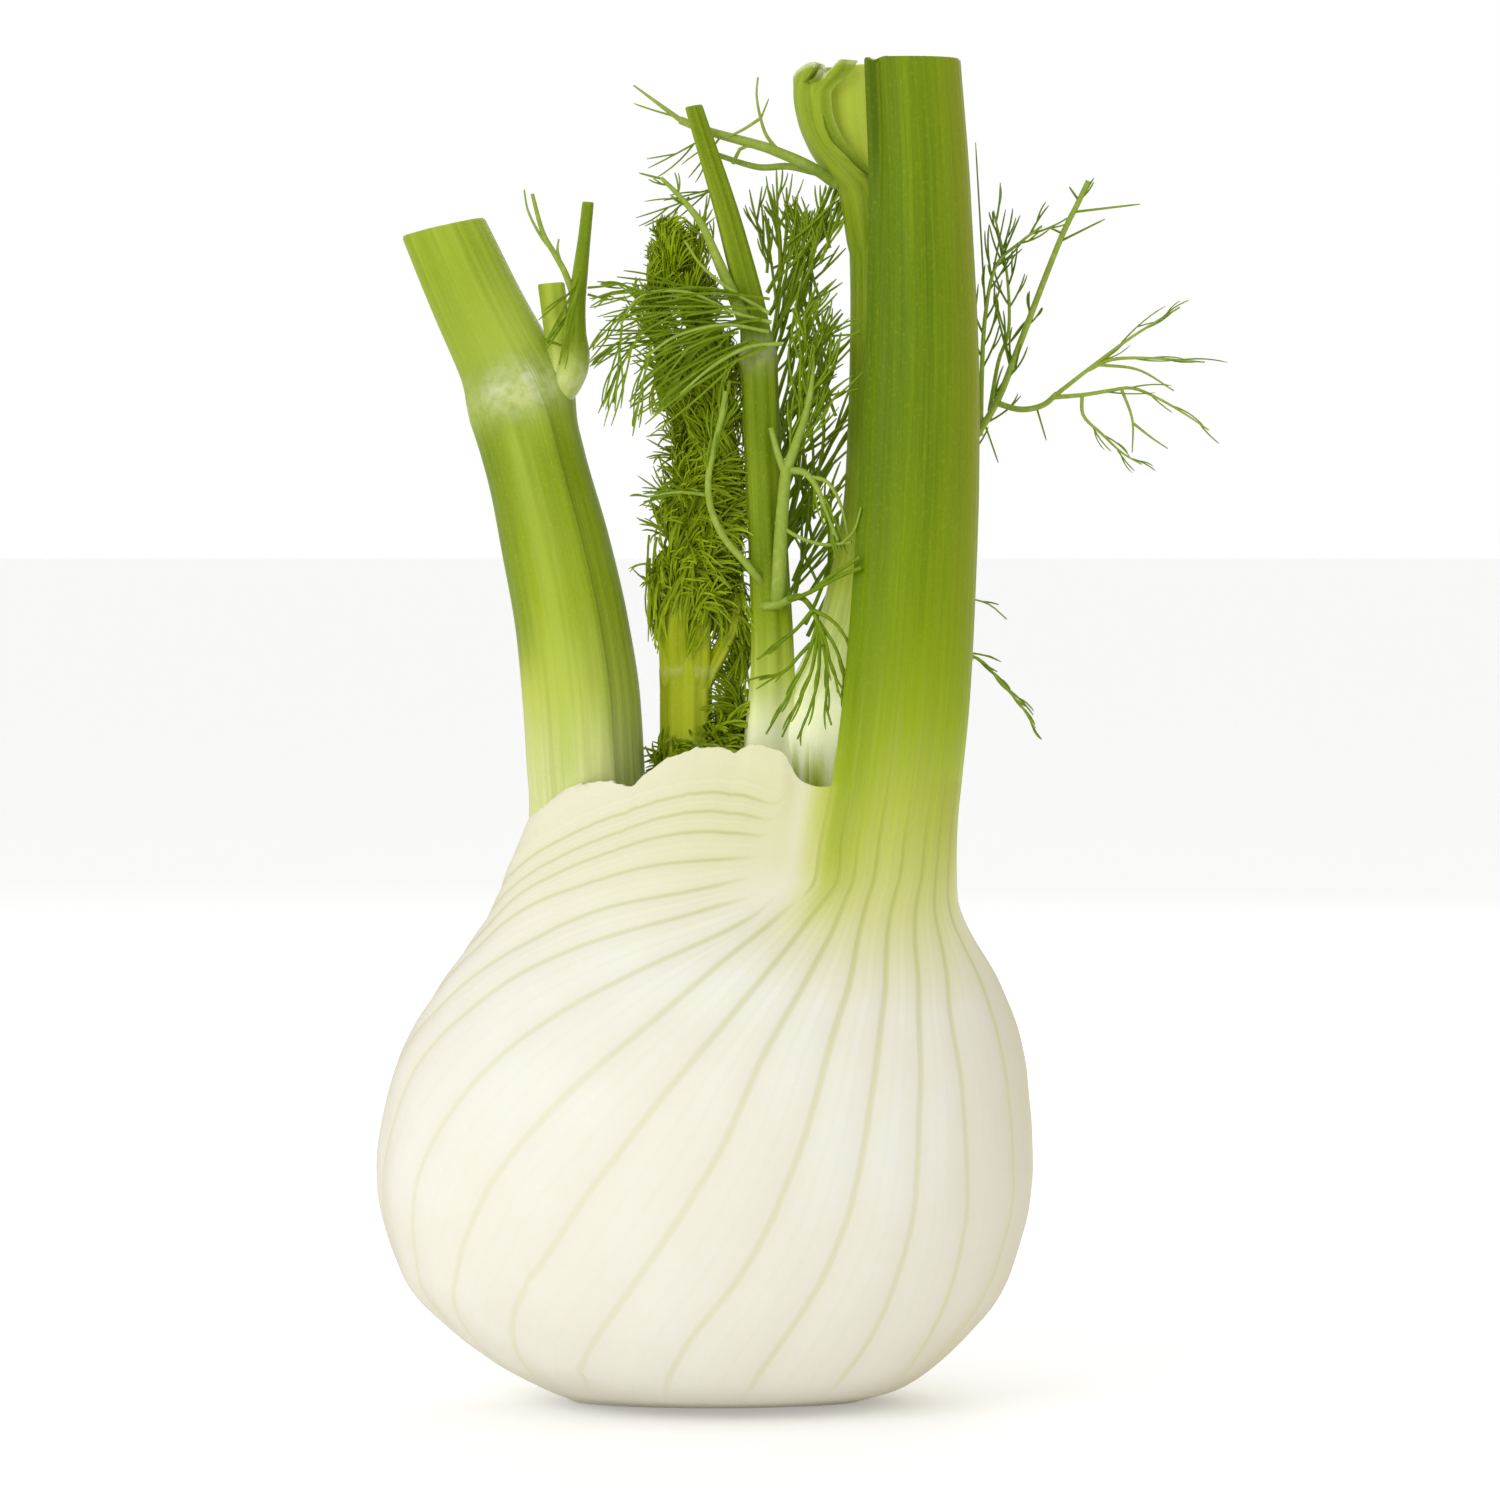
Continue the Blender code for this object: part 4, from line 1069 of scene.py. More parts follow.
def ribWave(share, height, count, seed):
    # uneven ribs down a stalk
    wander = share * count + 0.7 * np.sin(share * 9.0 + seed) + 0.35 * np.sin(share * 23.0 + seed * 2)
    strength = 0.75 + 0.25 * np.sin(share * 31 + seed * 3 + height * 0.02)
    return np.sin(2 * math.pi * wander) * strength


def outerRelief(outer, shares, fields):
    vein, gap, ink = fields["vein"][0], fields["gap"][0], fields["ink"][0]
    height = outer["height"]
    share, onStalk, _ = acrossLeaf(shares, height)
    away = np.abs((vein + 0.5) % 1 - 0.5)
    swell = 0.5 - 0.5 * np.cos(2 * math.pi * vein)
    size = np.clip(gap / 10, 0, 1)
    lift = (0.26 * swell * size - 0.07 * np.exp(-((away * gap / 0.9) ** 2))) * np.clip(ink * 1.3, 0, 1)
    bumps = roughness(outer["base"], 0.045) * 0.6 + roughness(outer["base"], 0.16) * 0.14
    lift = (lift + bumps) * ease(height / 9)
    up = climb(height, 74, 18) * onStalk
    lift = lift * (1 - up) + 0.07 * ribWave(np.clip(share, 0, 1), height, 26, 0.4) * up
    stalkLift = 0.07 * ribWave(outer["share"], outer["stalkHeight"], 26, 0.4)
    # a shallow channel runs down the stalk's left side from the cut end
    channel = bell(outer["share"], 0.93, 0.035) * climb(outer["stalkHeight"], 172, 24)
    stalkLift = stalkLift - 1.3 * channel
    ridge = bell(outer["share"], 0.865, 0.018) * climb(outer["stalkHeight"], 150, 30)
    stalkLift = stalkLift + 0.25 * ridge
    stalkLift[:, -1] *= 0.4
    return lift, stalkLift


def makeOuterLeaf():
    outer, inner, shares = leafFaces(0, 118, 1, 1)
    piece = leafObject("outerLeafSkin", 0, outer, inner, shares, outerFields, outerRelief,
        [bulbSkin, cutStalk])
    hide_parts("outer_leaf")
    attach(piece, "root")


makeOuterLeaf()
print("outer leaf ready")


# the left and the inner leaf, with straighter veins

def plainFields(leafIndex, greenFrom, greenTo, veinTurn, knots=(), stalkWidth=34, bands=(),
        channelTone=0, lowGreen=0):
    def make(outer, shares):
        height, stalkHeight = outer["height"], outer["stalkHeight"]
        share, onStalk, past = acrossLeaf(shares, height)
        fade = np.where(onStalk, 1, 1 - ease(past / 0.25))
        green = np.clip((height - greenFrom) / (greenTo - greenFrom), 0, 1) * fade
        greenStalk = np.clip((stalkHeight - greenFrom) / (greenTo - greenFrom), 0, 1)
        # streaky olive green low on the stalk: partly the leaf's own streaks, partly painted shade of the
        # deep hollow around it
        low = lowGreen * fall(stalkHeight, 103, 10) * climb(stalkHeight, 83, 8)
        greenStalk = greenStalk + low * (0.8 + 0.4 * np.sin(outer["share"] * 60))
        vein = outer["belly"] / veinTurn
        gap = np.clip(spreadGap(outer["base"], vein), 0.3, 30)
        zero, zeroStalk = np.zeros_like(height), np.zeros_like(stalkHeight)
        knot, tone, innerTone = zeroStalk.copy(), zeroStalk.copy(), zeroStalk.copy()
        leaf = leaves[leafIndex]
        facing = leaf["midrib"] if leaf["turn"] < 0 else 180.0
        angle = np.radians(facing - leaf["turn"] * blendTo(*leaf["stalkEdges"], outer["share"]))
        seen = np.cos(angle) * (np.sin(angle) < 0.3)
        for middle, reach, strength in knots:
            near = bell(stalkHeight, middle, reach)
            knot = np.maximum(knot, strength * near * (0.45 + 0.55 * bell(seen, 0.1, 0.6)))
            dip = ((stalkHeight - middle - 1.6) / 1.3) ** 2 + (seen / 0.2) ** 2
            knot = knot * (1 - 0.5 * np.exp(-dip))
        for middle, wide, strength, low, high in bands:
            band = strength * bell(seen, middle, wide)
            tone = tone + band * climb(stalkHeight, low, 12) * fall(stalkHeight, high, 8)
        innerTone = (zeroStalk + channelTone) * fall(stalkHeight, 148, 10)
        if knots:
            paler = 0.85 * climb(stalkHeight, 155, 5) * (1 - 0.78 * climb(stalkHeight, 160, 14))
            tone, innerTone = tone + paler * (0.65 + 0.35 * seen), innerTone + paler * 0.9
        ink = climb(height, 2, 8) * (1 - climb(height, 70, 20))
        return {
            "vein": (vein, zeroStalk, zero, zeroStalk),
            "gap": (gap, zeroStalk + 1, zero + 10, zeroStalk + 1),
            "ink": (ink * 0.8, zeroStalk, zero, zeroStalk),
            "green": (green, greenStalk, green * 0.8, greenStalk),
            "rise": (height, stalkHeight, height, stalkHeight),
            "across": (share * stalkWidth, outer["share"] * stalkWidth + zeroStalk,
                       share * stalkWidth + 80, outer["share"] * stalkWidth + 80 + zeroStalk),
            "knot": (zero, knot, zero, knot * 0.6),
            "tone": (zero, tone, zero, innerTone),
        }
    return make


def plainRelief(ribs, depth, seed, quiet=()):
    def make(outer, shares, fields):
        height, stalkHeight = outer["height"], outer["stalkHeight"]
        share, onStalk, _ = acrossLeaf(shares, height)
        vein, gap = fields["vein"][0], fields["gap"][0]
        swell = 0.25 * (0.5 - 0.5 * np.cos(2 * math.pi * vein)) * np.clip(gap / 10, 0, 1)
        up = climb(height, 70, 18) * onStalk
        ribbed = depth * ribWave(np.clip(share, 0, 1), height, ribs, seed)
        lift = swell * (1 - up) * ease(height / 9) + ribbed * up
        tuck = ease(np.minimum(outer["share"], 1 - outer["share"]) / 0.05)
        stalkLift = depth * ribWave(outer["share"], stalkHeight, ribs, seed) * tuck
        for middle, reach, bulge in quiet:
            near = bell(stalkHeight, middle, reach)
            swollen = bulge + 0.35 * roughness(outer["stalk"], 0.34)
            stalkLift = stalkLift * (1 - 0.85 * near) + near * swollen * tuck
        stalkLift[:, -1] *= 0.4
        return lift, stalkLift
    return make


# bands across the left stalk's front: partly its own streaks, partly painted light on its left side and
# painted shade towards its right
# middle across the front, width, strength, lowest and highest end
leftBands = (
    (-0.95, 0.28, -0.55, 107, 152), (-0.36, 0.15, 0.45, 88, 152), (-0.12, 0.06, 0.25, 104, 152),
    (0.12, 0.14, -0.30, 100, 150), (0.31, 0.05, -0.4, 92, 150),
)


def makeLeftLeaf():
    outer, inner, shares = leafFaces(1, 90, 0.9, 0.6)
    piece = leafObject("leftLeafSkin", 1, outer, inner, shares,
        plainFields(1, 66, 190, 13, knots=((153.4, 3.5, 0.95),), stalkWidth=42, bands=leftBands,
        channelTone=-0.35), plainRelief(13, 0.10, 1.3, quiet=((152.5, 3.6, 0.4),)),
        [leftSkin, cutStalk])
    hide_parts("left_leaf")
    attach(piece, "root")


def makeInnerLeaf():
    outer, inner, shares = leafFaces(2, 70, 1.2, 0.6)
    piece = leafObject("innerLeafSkin", 2, outer, inner, shares,
        plainFields(2, 98, 162, 14, stalkWidth=24, lowGreen=0.38), plainRelief(8, 0.08, 2.1),
        [innerSkin, cutStalk])
    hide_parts("inner_leaf")
    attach(piece, "root")


makeLeftLeaf()
makeInnerLeaf()
print("left and inner leaves ready")


# the swollen pocket at the top of the inner leaf: a cut, curled sheath with a paler lining

pocket = {
    "foot": 172,
    "lip": 201.4,
    # height, x of the left edge, x of the right edge, depth
    "shape": (
        (172, 22.6, 28.4, 2.6), (176, 21.5, 29.2, 3.3), (180, 20.9, 29.4, 4), (183.2, 20.3, 29.4, 4.4),
        (186.4, 18, 29.4, 5), (190, 15.7, 29.3, 5.5), (194, 14.1, 29.2, 5.8),
        (198, 13.4, 29.1, 6), (203.4, 13.3, 28.9, 6),
    ),
    "back": 5.6,
    # height of the cut rim by x, and x of the wall's curled edge by height
    "rim": ((13.3, 200.9), (14, 201.9), (16.4, 202.9), (17.5, 202.5), (18.3, 200.9), (19.2, 202),
            (20.6, 203.2), (23.5, 203)),
    "edge": ((172, 27.6), (184, 26.7), (187.4, 24.3), (190.5, 21.5), (192.9, 20.1), (195.4, 19.3),
             (198.1, 19.1), (199.4, 19.9), (200.4, 21.1), (201.6, 22.3), (203.4, 23.3)),
}


def makePocket():
    columns, rows = 60, 80
    verts, faces, slots = [], [], []
    fields = {key: [] for key in ("green", "rise", "across", "knot", "tone", "vein", "gap", "ink")}

    def addSheet(points, thickness, green, knot, tone, slot):
        # a sheet with a back and closed borders
        normals = gridNormals(points)
        sign = 1.0 if normals[..., 1].mean() < 0 else -1.0
        behind = points - normals * sign * thickness[..., None]
        start, count = sum(len(v) for v in verts), points[..., 0].size
        a = start + np.arange(count).reshape(points.shape[:2])
        b = a + count
        block = quadsOf(a).tolist() + quadsOf(b, True).tolist()
        for first, second in ((a[:, 0], b[:, 0]), (a[:, -1], b[:, -1]), (a[0], b[0]), (a[-1], b[-1])):
            block += quadsOf(np.stack([first, second], axis=1)).tolist()
        faces.extend(block)
        slots.extend([slot] * len(block))
        verts.extend((points.reshape(-1, 3), behind.reshape(-1, 3)))
        share = np.linspace(0, 1, points.shape[0])[:, None] + 0 * points[..., 0]
        values = {"green": green, "rise": points[..., 2], "across": share * 22, "knot": knot,
            "tone": tone, "vein": 0 * share, "gap": 1 + 0 * share, "ink": 0 * share}
        for key, value in values.items():
            fields[key] += [value.ravel(), value.ravel()]

    u = np.linspace(0, 1, columns)[:, None]
    v = np.linspace(0, 1, rows)[None, :]
    foot, lip = pocket["foot"], pocket["lip"]
    height = foot + 31.0 * v + 0 * u
    for _ in range(6):
        left, right, depth = (curveAt(pocket["shape"], k, height) for k in (1, 2, 3))
        middle, half = (left + right) / 2, (right - left) / 2
        stop = np.arccos(np.clip((curveAt(pocket["edge"], 1, height) - middle) / half, -0.999, 0.999))
        angle = blendTo(math.radians(130), 2 * math.pi - stop, u)
        x = middle + half * np.cos(angle)
        rim = blendTo(curveAt(pocket["rim"], 1, x[:, -1:]), lip, ease((np.sin(angle) + 0.15) / 0.5))
        height = foot + (rim - foot) * v
    y = pocket["back"] + depth * np.sin(angle)
    curl = climb(u, 0.86, 0.14) * climb(height, 188, 8)
    y = y + 0.5 * curl
    ribs = 0.025 * np.sin(u * 46) + 0.02 * np.sin(u * 71 + 2)
    front = stack(x + ribs * np.cos(angle), y + ribs * np.sin(angle), height)
    wall = 1.7 * (0.5 + 0.5 * np.sin(math.pi * np.clip(u, 0.1, 0.9)))
    wall = wall * (1 - 0.66 * climb(u, 0.84, 0.16)) + 0 * height
    cutEdge = np.maximum(ease((height - rim + 1) / 0.8),
        0.15 * climb(u, 0.965, 0.03) * climb(height, 189, 4))
    # the wall takes on the stalk's own green where it leaves it
    grown = climb(height, foot, 15)
    addSheet(front, wall, 1.0 - 0.44 * grown, cutEdge * 0.8, 0.18 * np.sin(u * 3.4 + 0.6) * grown, 0)

    # the lining behind the mouth
    u = np.linspace(0, 1, 34)[:, None]
    height = 176.0 + (202.7 - 0.5 * np.abs(np.sin(u * 5)) - 176) * v
    left, right, depth = (curveAt(pocket["shape"], k, height) for k in (1, 2, 3))
    angle = blendTo(math.radians(190), math.radians(350), u)
    x = (left + right) / 2 + (right - left) / 2 * 0.84 * np.cos(angle) + 0.4
    y = pocket["back"] + 0.6 + depth * 0.66 * np.sin(angle)
    addSheet(stack(x, y, height), 0.7 + 0 * height, 0.35 + 0 * height, 0 * height,
        0.3 * np.sin(u * 12) + 0 * height, 1)

    fields = {key: np.concatenate(values) for key, values in fields.items()}
    piece = meshObject("innerLeafPocket", np.concatenate(verts), faces, fields,
        [innerSkin, pocketInside], slots)
    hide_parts("inner_leaf")
    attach(piece, "root")


makePocket()
print("pocket ready")


# solid stalks and shoots, lofted through oval sections

def closeEnd(verts, faces, ringIds, rings):
    # closes a round opening with ever smaller rings
    total = sum(len(part) for part in verts)
    for ring in rings:
        nextIds = total + np.arange(len(ring))
        total += len(ring)
        verts.append(ring)
        pair = [np.append(ids, ids[0]) for ids in (ringIds, nextIds)]
        faces += quadsOf(np.stack(pair, axis=1)).tolist()
        ringIds = nextIds
    faces.append(ringIds.tolist())


def solidStalk(name, sections, sides, step, material, greenRange, ribs, ribDepth, node, knots=(),
        seed=0):
    top = sections[-1][0]
    heights = np.arange(sections[0][0], top - step * 0.6, step)
    heights = np.append(heights, (top - 0.25, top))
    share = (np.arange(sides) / sides)[:, None]
    grid, centre = (sectionPoint(sections, heights + 0 * share, 360 * share + 0 * heights, scale)
                    for scale in (1, 0))
    out = grid - centre
    reach = np.linalg.norm(out, axis=-1, keepdims=True)
    lift = ribDepth * np.sin(2 * math.pi * (share * ribs + 0.08 * np.sin(share * 12.5 + seed)))
    lift = lift + 0 * heights
    knot = np.zeros_like(lift)
    for middle, wide, bulge, strength in knots:
        near = bell(heights, middle, wide)
        lift = lift * (1 - 0.7 * near) + bulge * near
        knot = np.maximum(knot, strength * near)
    grid = grid + out / np.maximum(reach, 1e-6) * lift[..., None]
    grid[:, -1] = centre[:, -1] + (grid[:, -1] - centre[:, -1]) * 0.93
    ids = np.arange(grid[..., 0].size).reshape(grid.shape[:2])
    faces = quadsOf(np.concatenate([ids, ids[:1]])).tolist()
    skin = len(faces)
    verts = [grid.reshape(-1, 3)]
    green = np.clip((heights - greenRange[0]) / (greenRange[1] - greenRange[0]), 0, 1) + 0 * share
    width = 2 * math.pi * curveAt(sections, 3, heights.mean())
    fields = {"green": green, "rise": heights + 0 * share, "across": share * width + 0 * heights,
              "knot": knot, "tone": 0.25 * np.sin(share * 12.566 + 1.0 + seed) + 0 * lift,
              "vein": 0 * lift, "gap": 1 + 0 * lift, "ink": 0 * lift}
    # the cut end, a little sunk in its middle
    closeEnd(verts, faces, ids[:, -1], [centre[:, -1] + (grid[:, -1] - centre[:, -1]) * scale
        - (0, 0, sink) for scale, sink in ((0.8, 0.12), (0.5, 0.22), (0.2, 0.28))])
    slots = [0] * skin + [1] * (len(faces) - skin)
    faces.append(ids[::-1, 0].tolist())
    slots.append(0)
    verts = np.concatenate(verts)
    flat = {key: np.append(np.broadcast_to(value, lift.shape), np.zeros(len(verts) - ids.size))
            for key, value in fields.items()}
    piece = meshObject(name, verts, faces, flat, [material, cutStalk], slots)
    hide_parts(node)
    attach(piece, "root")


centreStalk = (
    (30.8, 9, -1, 7, 9, 0), (48, 9.5, -1.5, 7, 8, 0), (64, 9, -4, 5, 5, 0),
    (80, 8.2, -5, 4.4, 4, 0), (98, 10, -4, 4.2, 3.3, 0), (112, 10.2, -2.6, 3.2, 2.9, 0),
    (128, 9.6, -2, 2.9, 2.7, 0), (144, 8.7, -2, 2.7, 2.5, 2), (157, 8.1, -2, 2.7, 2.5, 5),
    (162, 7.6, -2, 2.2, 2, 14), (176, 4.4, -2.4, 1.8, 1.7, 16), (196, -1.7, -3, 1.2, 1.2, 10),
)
heartShoot = (
    (30.8, -10, 0, 7.5, 9, 0), (48, -10, 0, 7.5, 8.5, 0), (66, -6, 0.5, 5, 6.5, 0),
    (82, -3, 1, 4, 4.6, 0), (97, -2.9, 1, 3.8, 3.6, 0), (108, -2.9, 1, 3.8, 3.5, 0),
    (111, -2.9, 1, 3.9, 3.5, 0), (114, -3, 1.1, 3.2, 2.8, 0), (118, -2.8, 1.4, 2, 1.8, 0),
)
solidStalk("centreStalkSkin", centreStalk, 56, 1, youngSkin, (102, 140), 7, 0.16,
           knots=((158.8, 2.2, 0.35, 0.35),), node="centre_stalk", seed=0.6)
solidStalk("heartShootSkin", heartShoot, 56, 1, heartSkin, (84, 124), 8, 0.2,
           node="heart_shoot", seed=1.9)

# folded sheaths and a side branch above the heart shoot's joint
heartFlaps = (
    ((107.6, -4.1, 0.4, 2, 2.2, 0), (112, -4.3, 0, 2.5, 2.5, 0), (116, -4.5, -0.1, 2.4, 2.4, 0),
     (120, -4.2, 0, 2.1, 2.1, 0), (126, -3.4, 0.6, 1.4, 1.6, 0)),
    ((107.6, -1.6, 0.2, 1.8, 2, 0), (112, -0.9, -0.3, 1.9, 2.2, 0), (116, -0.8, -0.4, 1.5, 1.9, 0),
     (121, -1, 0, 1.4, 1.6, 0), (126, -1.4, 0.6, 1.2, 1.3, 0)),
    ((107.6, -0.4, 0.4, 0.9, 1.2, 0), (110.6, 0.6, 0, 1.2, 1.3, -20), (113.6, 2.2, -0.2, 1.2, 1.2, -25),
     (117.6, 4, 0.2, 1.1, 1.1, -20), (122.6, 4.9, 0.8, 0.9, 0.9, -8)),
)
for number, flap in enumerate(heartFlaps):
    solidStalk("heartFlap%d" % number, flap, 32, 0.7, heartSkin, (90, 130), 6, 0.16,
        knots=((110.8, 0.8, 0.12, 0.2),), node="heart_shoot", seed=number + 0.5)
print("centre stalk and heart ready")


# the root plate, cut off flat and dry underneath

rootPlate = (
    (0, 2, 0, 9.6, 7.4, 0), (2.5, 3.2, 0, 15, 12, 0), (9, 1.5, 0, 18, 14, 0),
    (20, 0, 0, 13, 11, 0), (30, 0, 0, 7, 6, 0),
)


def makeRootPlate():
    sides, heights = 72, np.concatenate([np.linspace(0, 3, 7), np.linspace(4, 30, 22)])
    share = (np.arange(sides) / sides)[:, None]
    grid = sectionPoint(rootPlate, heights + 0 * share, 360 * share + 0 * heights)
    grid[..., :2] *= (1 + 0.015 * roughness(grid, 0.5) * (heights > 0.1))[..., None]
    ids = np.arange(grid[..., 0].size).reshape(grid.shape[:2])
    faces = quadsOf(np.concatenate([ids, ids[:1]])).tolist() + [ids[:, -1].tolist()]
    verts, turn = [grid.reshape(-1, 3)], 2 * math.pi * share[:, 0]
    centre, halfWidth, halfDepth = rootPlate[0][1], rootPlate[0][3], rootPlate[0][4]
    closeEnd(verts, faces, ids[:, 0], [stack(centre + halfWidth * scale * np.cos(turn),
        halfDepth * scale * np.sin(turn), 0.12 + 0.10 * np.sin(share[:, 0] * 30 + scale * 20))
        for scale in (0.85, 0.7, 0.55, 0.4, 0.25, 0.1)])
    piece = meshObject("rootPlateFlesh", np.concatenate(verts), faces, {}, [cutRoot])
    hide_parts("root_plate")
    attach(piece, "root")


makeRootPlate()
print("root plate ready")


# foliage: thin threads that bend steadily and fork at narrow angles, one mesh for each frond

def unit(vector):
    vector = np.asarray(vector, float)
    return vector / max(np.linalg.norm(vector), 1e-9)


class Threads:

    def __init__(self, seed):
        self.rng = np.random.default_rng(seed)
        self.paths = []

    def stem(self, route, first, last, points=0):
        path = smoothRoute(route, points or max(8, 5 * len(route)))
        self.paths.append((path, np.linspace(first, last, len(path)), 8, 0, 0.5))
        return path

    def stems(self, *rows):
        return [self.stem(*row) for row in rows]

    def thread(self, start, heading, length, radius, forks=1, curl=(0, 0, 0), spread=0.42, steps=7,
            tone=None):
        rng = self.rng
        tone = rng.random() if tone is None else tone
        curl = np.asarray(curl, float)
        direction = unit(heading)
        points, ways = [np.asarray(start, float)], []
        for _ in range(steps):
            direction = unit(direction + curl / steps)
            ways.append(direction)
            points.append(points[-1] + direction * length / steps)
        radii = radius * np.linspace(1, 0.66, steps + 1)
        radii[-1] *= 0.55
        self.paths.append((np.array(points), radii, 4 if radius > 0.3 else 3, 1, tone))
        side = 1 if rng.random() < 0.5 else -1
        for k in range(forks):
            at = min(steps - 2, max(1, int(steps * (0.22 + 0.6 * (k + 0.6 * rng.random()) / forks))))
            side = -side
            across = unit(np.cross(ways[at], (0, 1, 0)) + rng.normal(0, 0.35, 3))
            out = unit(ways[at] * math.cos(spread) + across * side * math.sin(spread))
            rest = length * (1 - at / steps) * rng.uniform(0.7, 1.1)
            self.thread(points[at], out, rest, radius * 0.85, max(0, forks - 2),
                curl * 0.7 - across * side * 0.35 + rng.normal(0, 0.12, 3), spread, max(4, steps - 2),
                tone)

    def strands(self, rows, *rest):
        for row in rows:
            self.thread(*row, *rest)

    def fringe(self, path, count, length, radius, spread, forks, begin=0.1, finish=1, curl=(0, 0, 0)):
        # threads off both sides of a stem, shorter towards its end
        side, evenness = 1, 0.7
        for k in range(count):
            t = begin + (finish - begin) * (k + 0.6 * self.rng.random()) / count
            at = min(len(path) - 2, int(t * (len(path) - 1)))
            ahead = unit(path[at + 1] - path[at])
            side = -side
            spin = unit(np.cross(ahead, (0, 1, 0)) + self.rng.normal(0, 0.3, 3))
            out = unit(ahead * math.cos(spread) + spin * side * math.sin(spread))
            grow = length * (1.15 - 0.5 * t) * (evenness + (1 - evenness) * 2 * self.rng.random())
            bend = np.asarray(curl) - spin * side * 0.4 + self.rng.normal(0, 0.1, 3)
            self.thread(blendTo(path[at], path[at + 1], self.rng.random()), out, grow, radius, forks,
                bend)

    def tuft(self, place, heading, count, length, radius, curl, forks=2, loose=0.2, size=0.5):
        # a lock of threads that start close together and flow the same way
        # one tone for the whole lock, which paints it as shaded or lit
        tone = self.rng.random()
        for _ in range(count):
            way = unit(heading + self.rng.normal(0, loose, 3))
            self.thread(np.asarray(place) + self.rng.normal(0, size, 3), way,
                length * self.rng.uniform(0.7, 1.15), radius, forks,
                np.asarray(curl) + self.rng.normal(0, 0.2, 3), 0.4, 6,
                min(1, max(0, tone + self.rng.normal(0, 0.12))))

    def finish(self, name, materials, node):
        verts, faces, slots, tips, tones, total = [], [], [], [], [], 0
        for points, radii, sides, tipped, tone in self.paths:
            ahead = np.gradient(points, axis=0)
            ahead /= np.maximum(np.linalg.norm(ahead, axis=1, keepdims=True), 1e-9)
            helper = np.array((0.3, 0.9, 0.2)) if abs(ahead[0, 1]) < 0.8 else np.array((1, 0.1, 0.2))
            first = np.cross(ahead, helper)
            first /= np.maximum(np.linalg.norm(first, axis=1, keepdims=True), 1e-9)
            second = np.cross(ahead, first)
            turn = 2 * math.pi * np.arange(sides) / sides
            ring = (first[:, None] * np.cos(turn)[None, :, None]
                    + second[:, None] * np.sin(turn)[None, :, None])
            grid = points[:, None] + ring * radii[:, None, None]
            ids = total + np.arange(len(points) * sides).reshape(len(points), sides)
            closed = np.concatenate([ids, ids[:, :1]], axis=1)
            block = quadsOf(closed).tolist() + [ids[0].tolist(), ids[-1, ::-1].tolist()]
            faces += block
            slots += [int(tipped)] * len(block)
            verts.append(grid.reshape(-1, 3))
            tips.append(np.repeat(np.linspace(0, 1, len(points)) * tipped, sides))
            tones.append(np.full(len(points) * sides, tone))
            total += len(points) * sides
        fields = {"tip": np.concatenate(tips), "shade": np.concatenate(tones)}
        piece = meshObject(name, np.concatenate(verts), faces, fields, materials, slots)
        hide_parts(node)
        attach(piece, "root")
        print(name, len(faces), "faces")


heartPlume = (
    (118, -1.8, 1.6, 4.2, 3.2, 0), (122, -2, 2, 6.6, 5.2, 0), (130, -1.4, 2.2, 7.2, 6, 0),
    (137, -0.4, 2.6, 5.8, 5, 0), (144, 0.2, 2.8, 4.6, 4, 0), (150, -0.2, 2.8, 5.2, 4.6, 0),
    (157, -2.4, 2.6, 7.6, 5.6, 0), (165, -3.8, 2.4, 8, 6, 0), (172, -4.4, 2.2, 5.8, 4.8, 0),
    (176.5, -4, 2, 3, 2.4, 0),
)
heartStem = makeFoliage("heartStem", (150, 168, 14), (166, 182, 28), (182, 196, 50), 0.42)


def makeHeartPlume():
    threads, lockCount = Threads(11), 235
    rng = threads.rng
    threads.stem(((-2.4, 1.2, 116), (-2, 1.8, 126), (0, 2.4, 138), (0.6, 2.8, 147), (-0.6, 2.8, 156),
        (-3.6, 2.4, 170)), 2, 0.8)
    for k in range(lockCount):
        height = 118.5 + 57.5 * ((k + rng.random()) / lockCount)
        angle = rng.uniform(160, 380)
        place = sectionPoint(heartPlume, height, angle, rng.uniform(0.2, 0.62))
        out = unit(sectionPoint(heartPlume, height, angle, 1)
            - sectionPoint(heartPlume, height, angle, 0))
        if height > 166:
            heading, curl, length = out * 0.7 + (0, 0, 1), -out * 1.3 + (rng.normal(0, 0.5), 0,
                -0.2), 4.6
        elif height > 142:
            lean = (0.5, 0, -0.9) if rng.random() < 0.7 else (-0.3, 0, 0.8)
            heading, curl, length = out * 0.8 + lean, -out * 1.0 + (0.3, 0, -0.6), 7.0
        else:
            lean = (-0.35, 0, -0.6) if rng.random() < 0.6 else (0.3, 0, 0.7)
            heading, curl, length = out * 0.9 + lean, -out * 1.3 + (0, 0, -1), 7.5
        threads.tuft(place, np.asarray(heading), 8, length, 0.235, curl, 2, 0.16)
    # locks that hang down over the left of the shoot
    for x, z, length in ((-8, 128, 12), (-7.2, 126, 11), (-6.6, 124, 9), (-7.8, 131, 12)):
        threads.tuft((x, 0, z), np.array((-0.15, -0.1, -1)), 3, length, 0.22, (0.25, 0, -0.2), 1, 0.1,
            0.5)
    threads.finish("heartPlumeLeaf", [heartStem, plumeLeaf], "heart_plume")


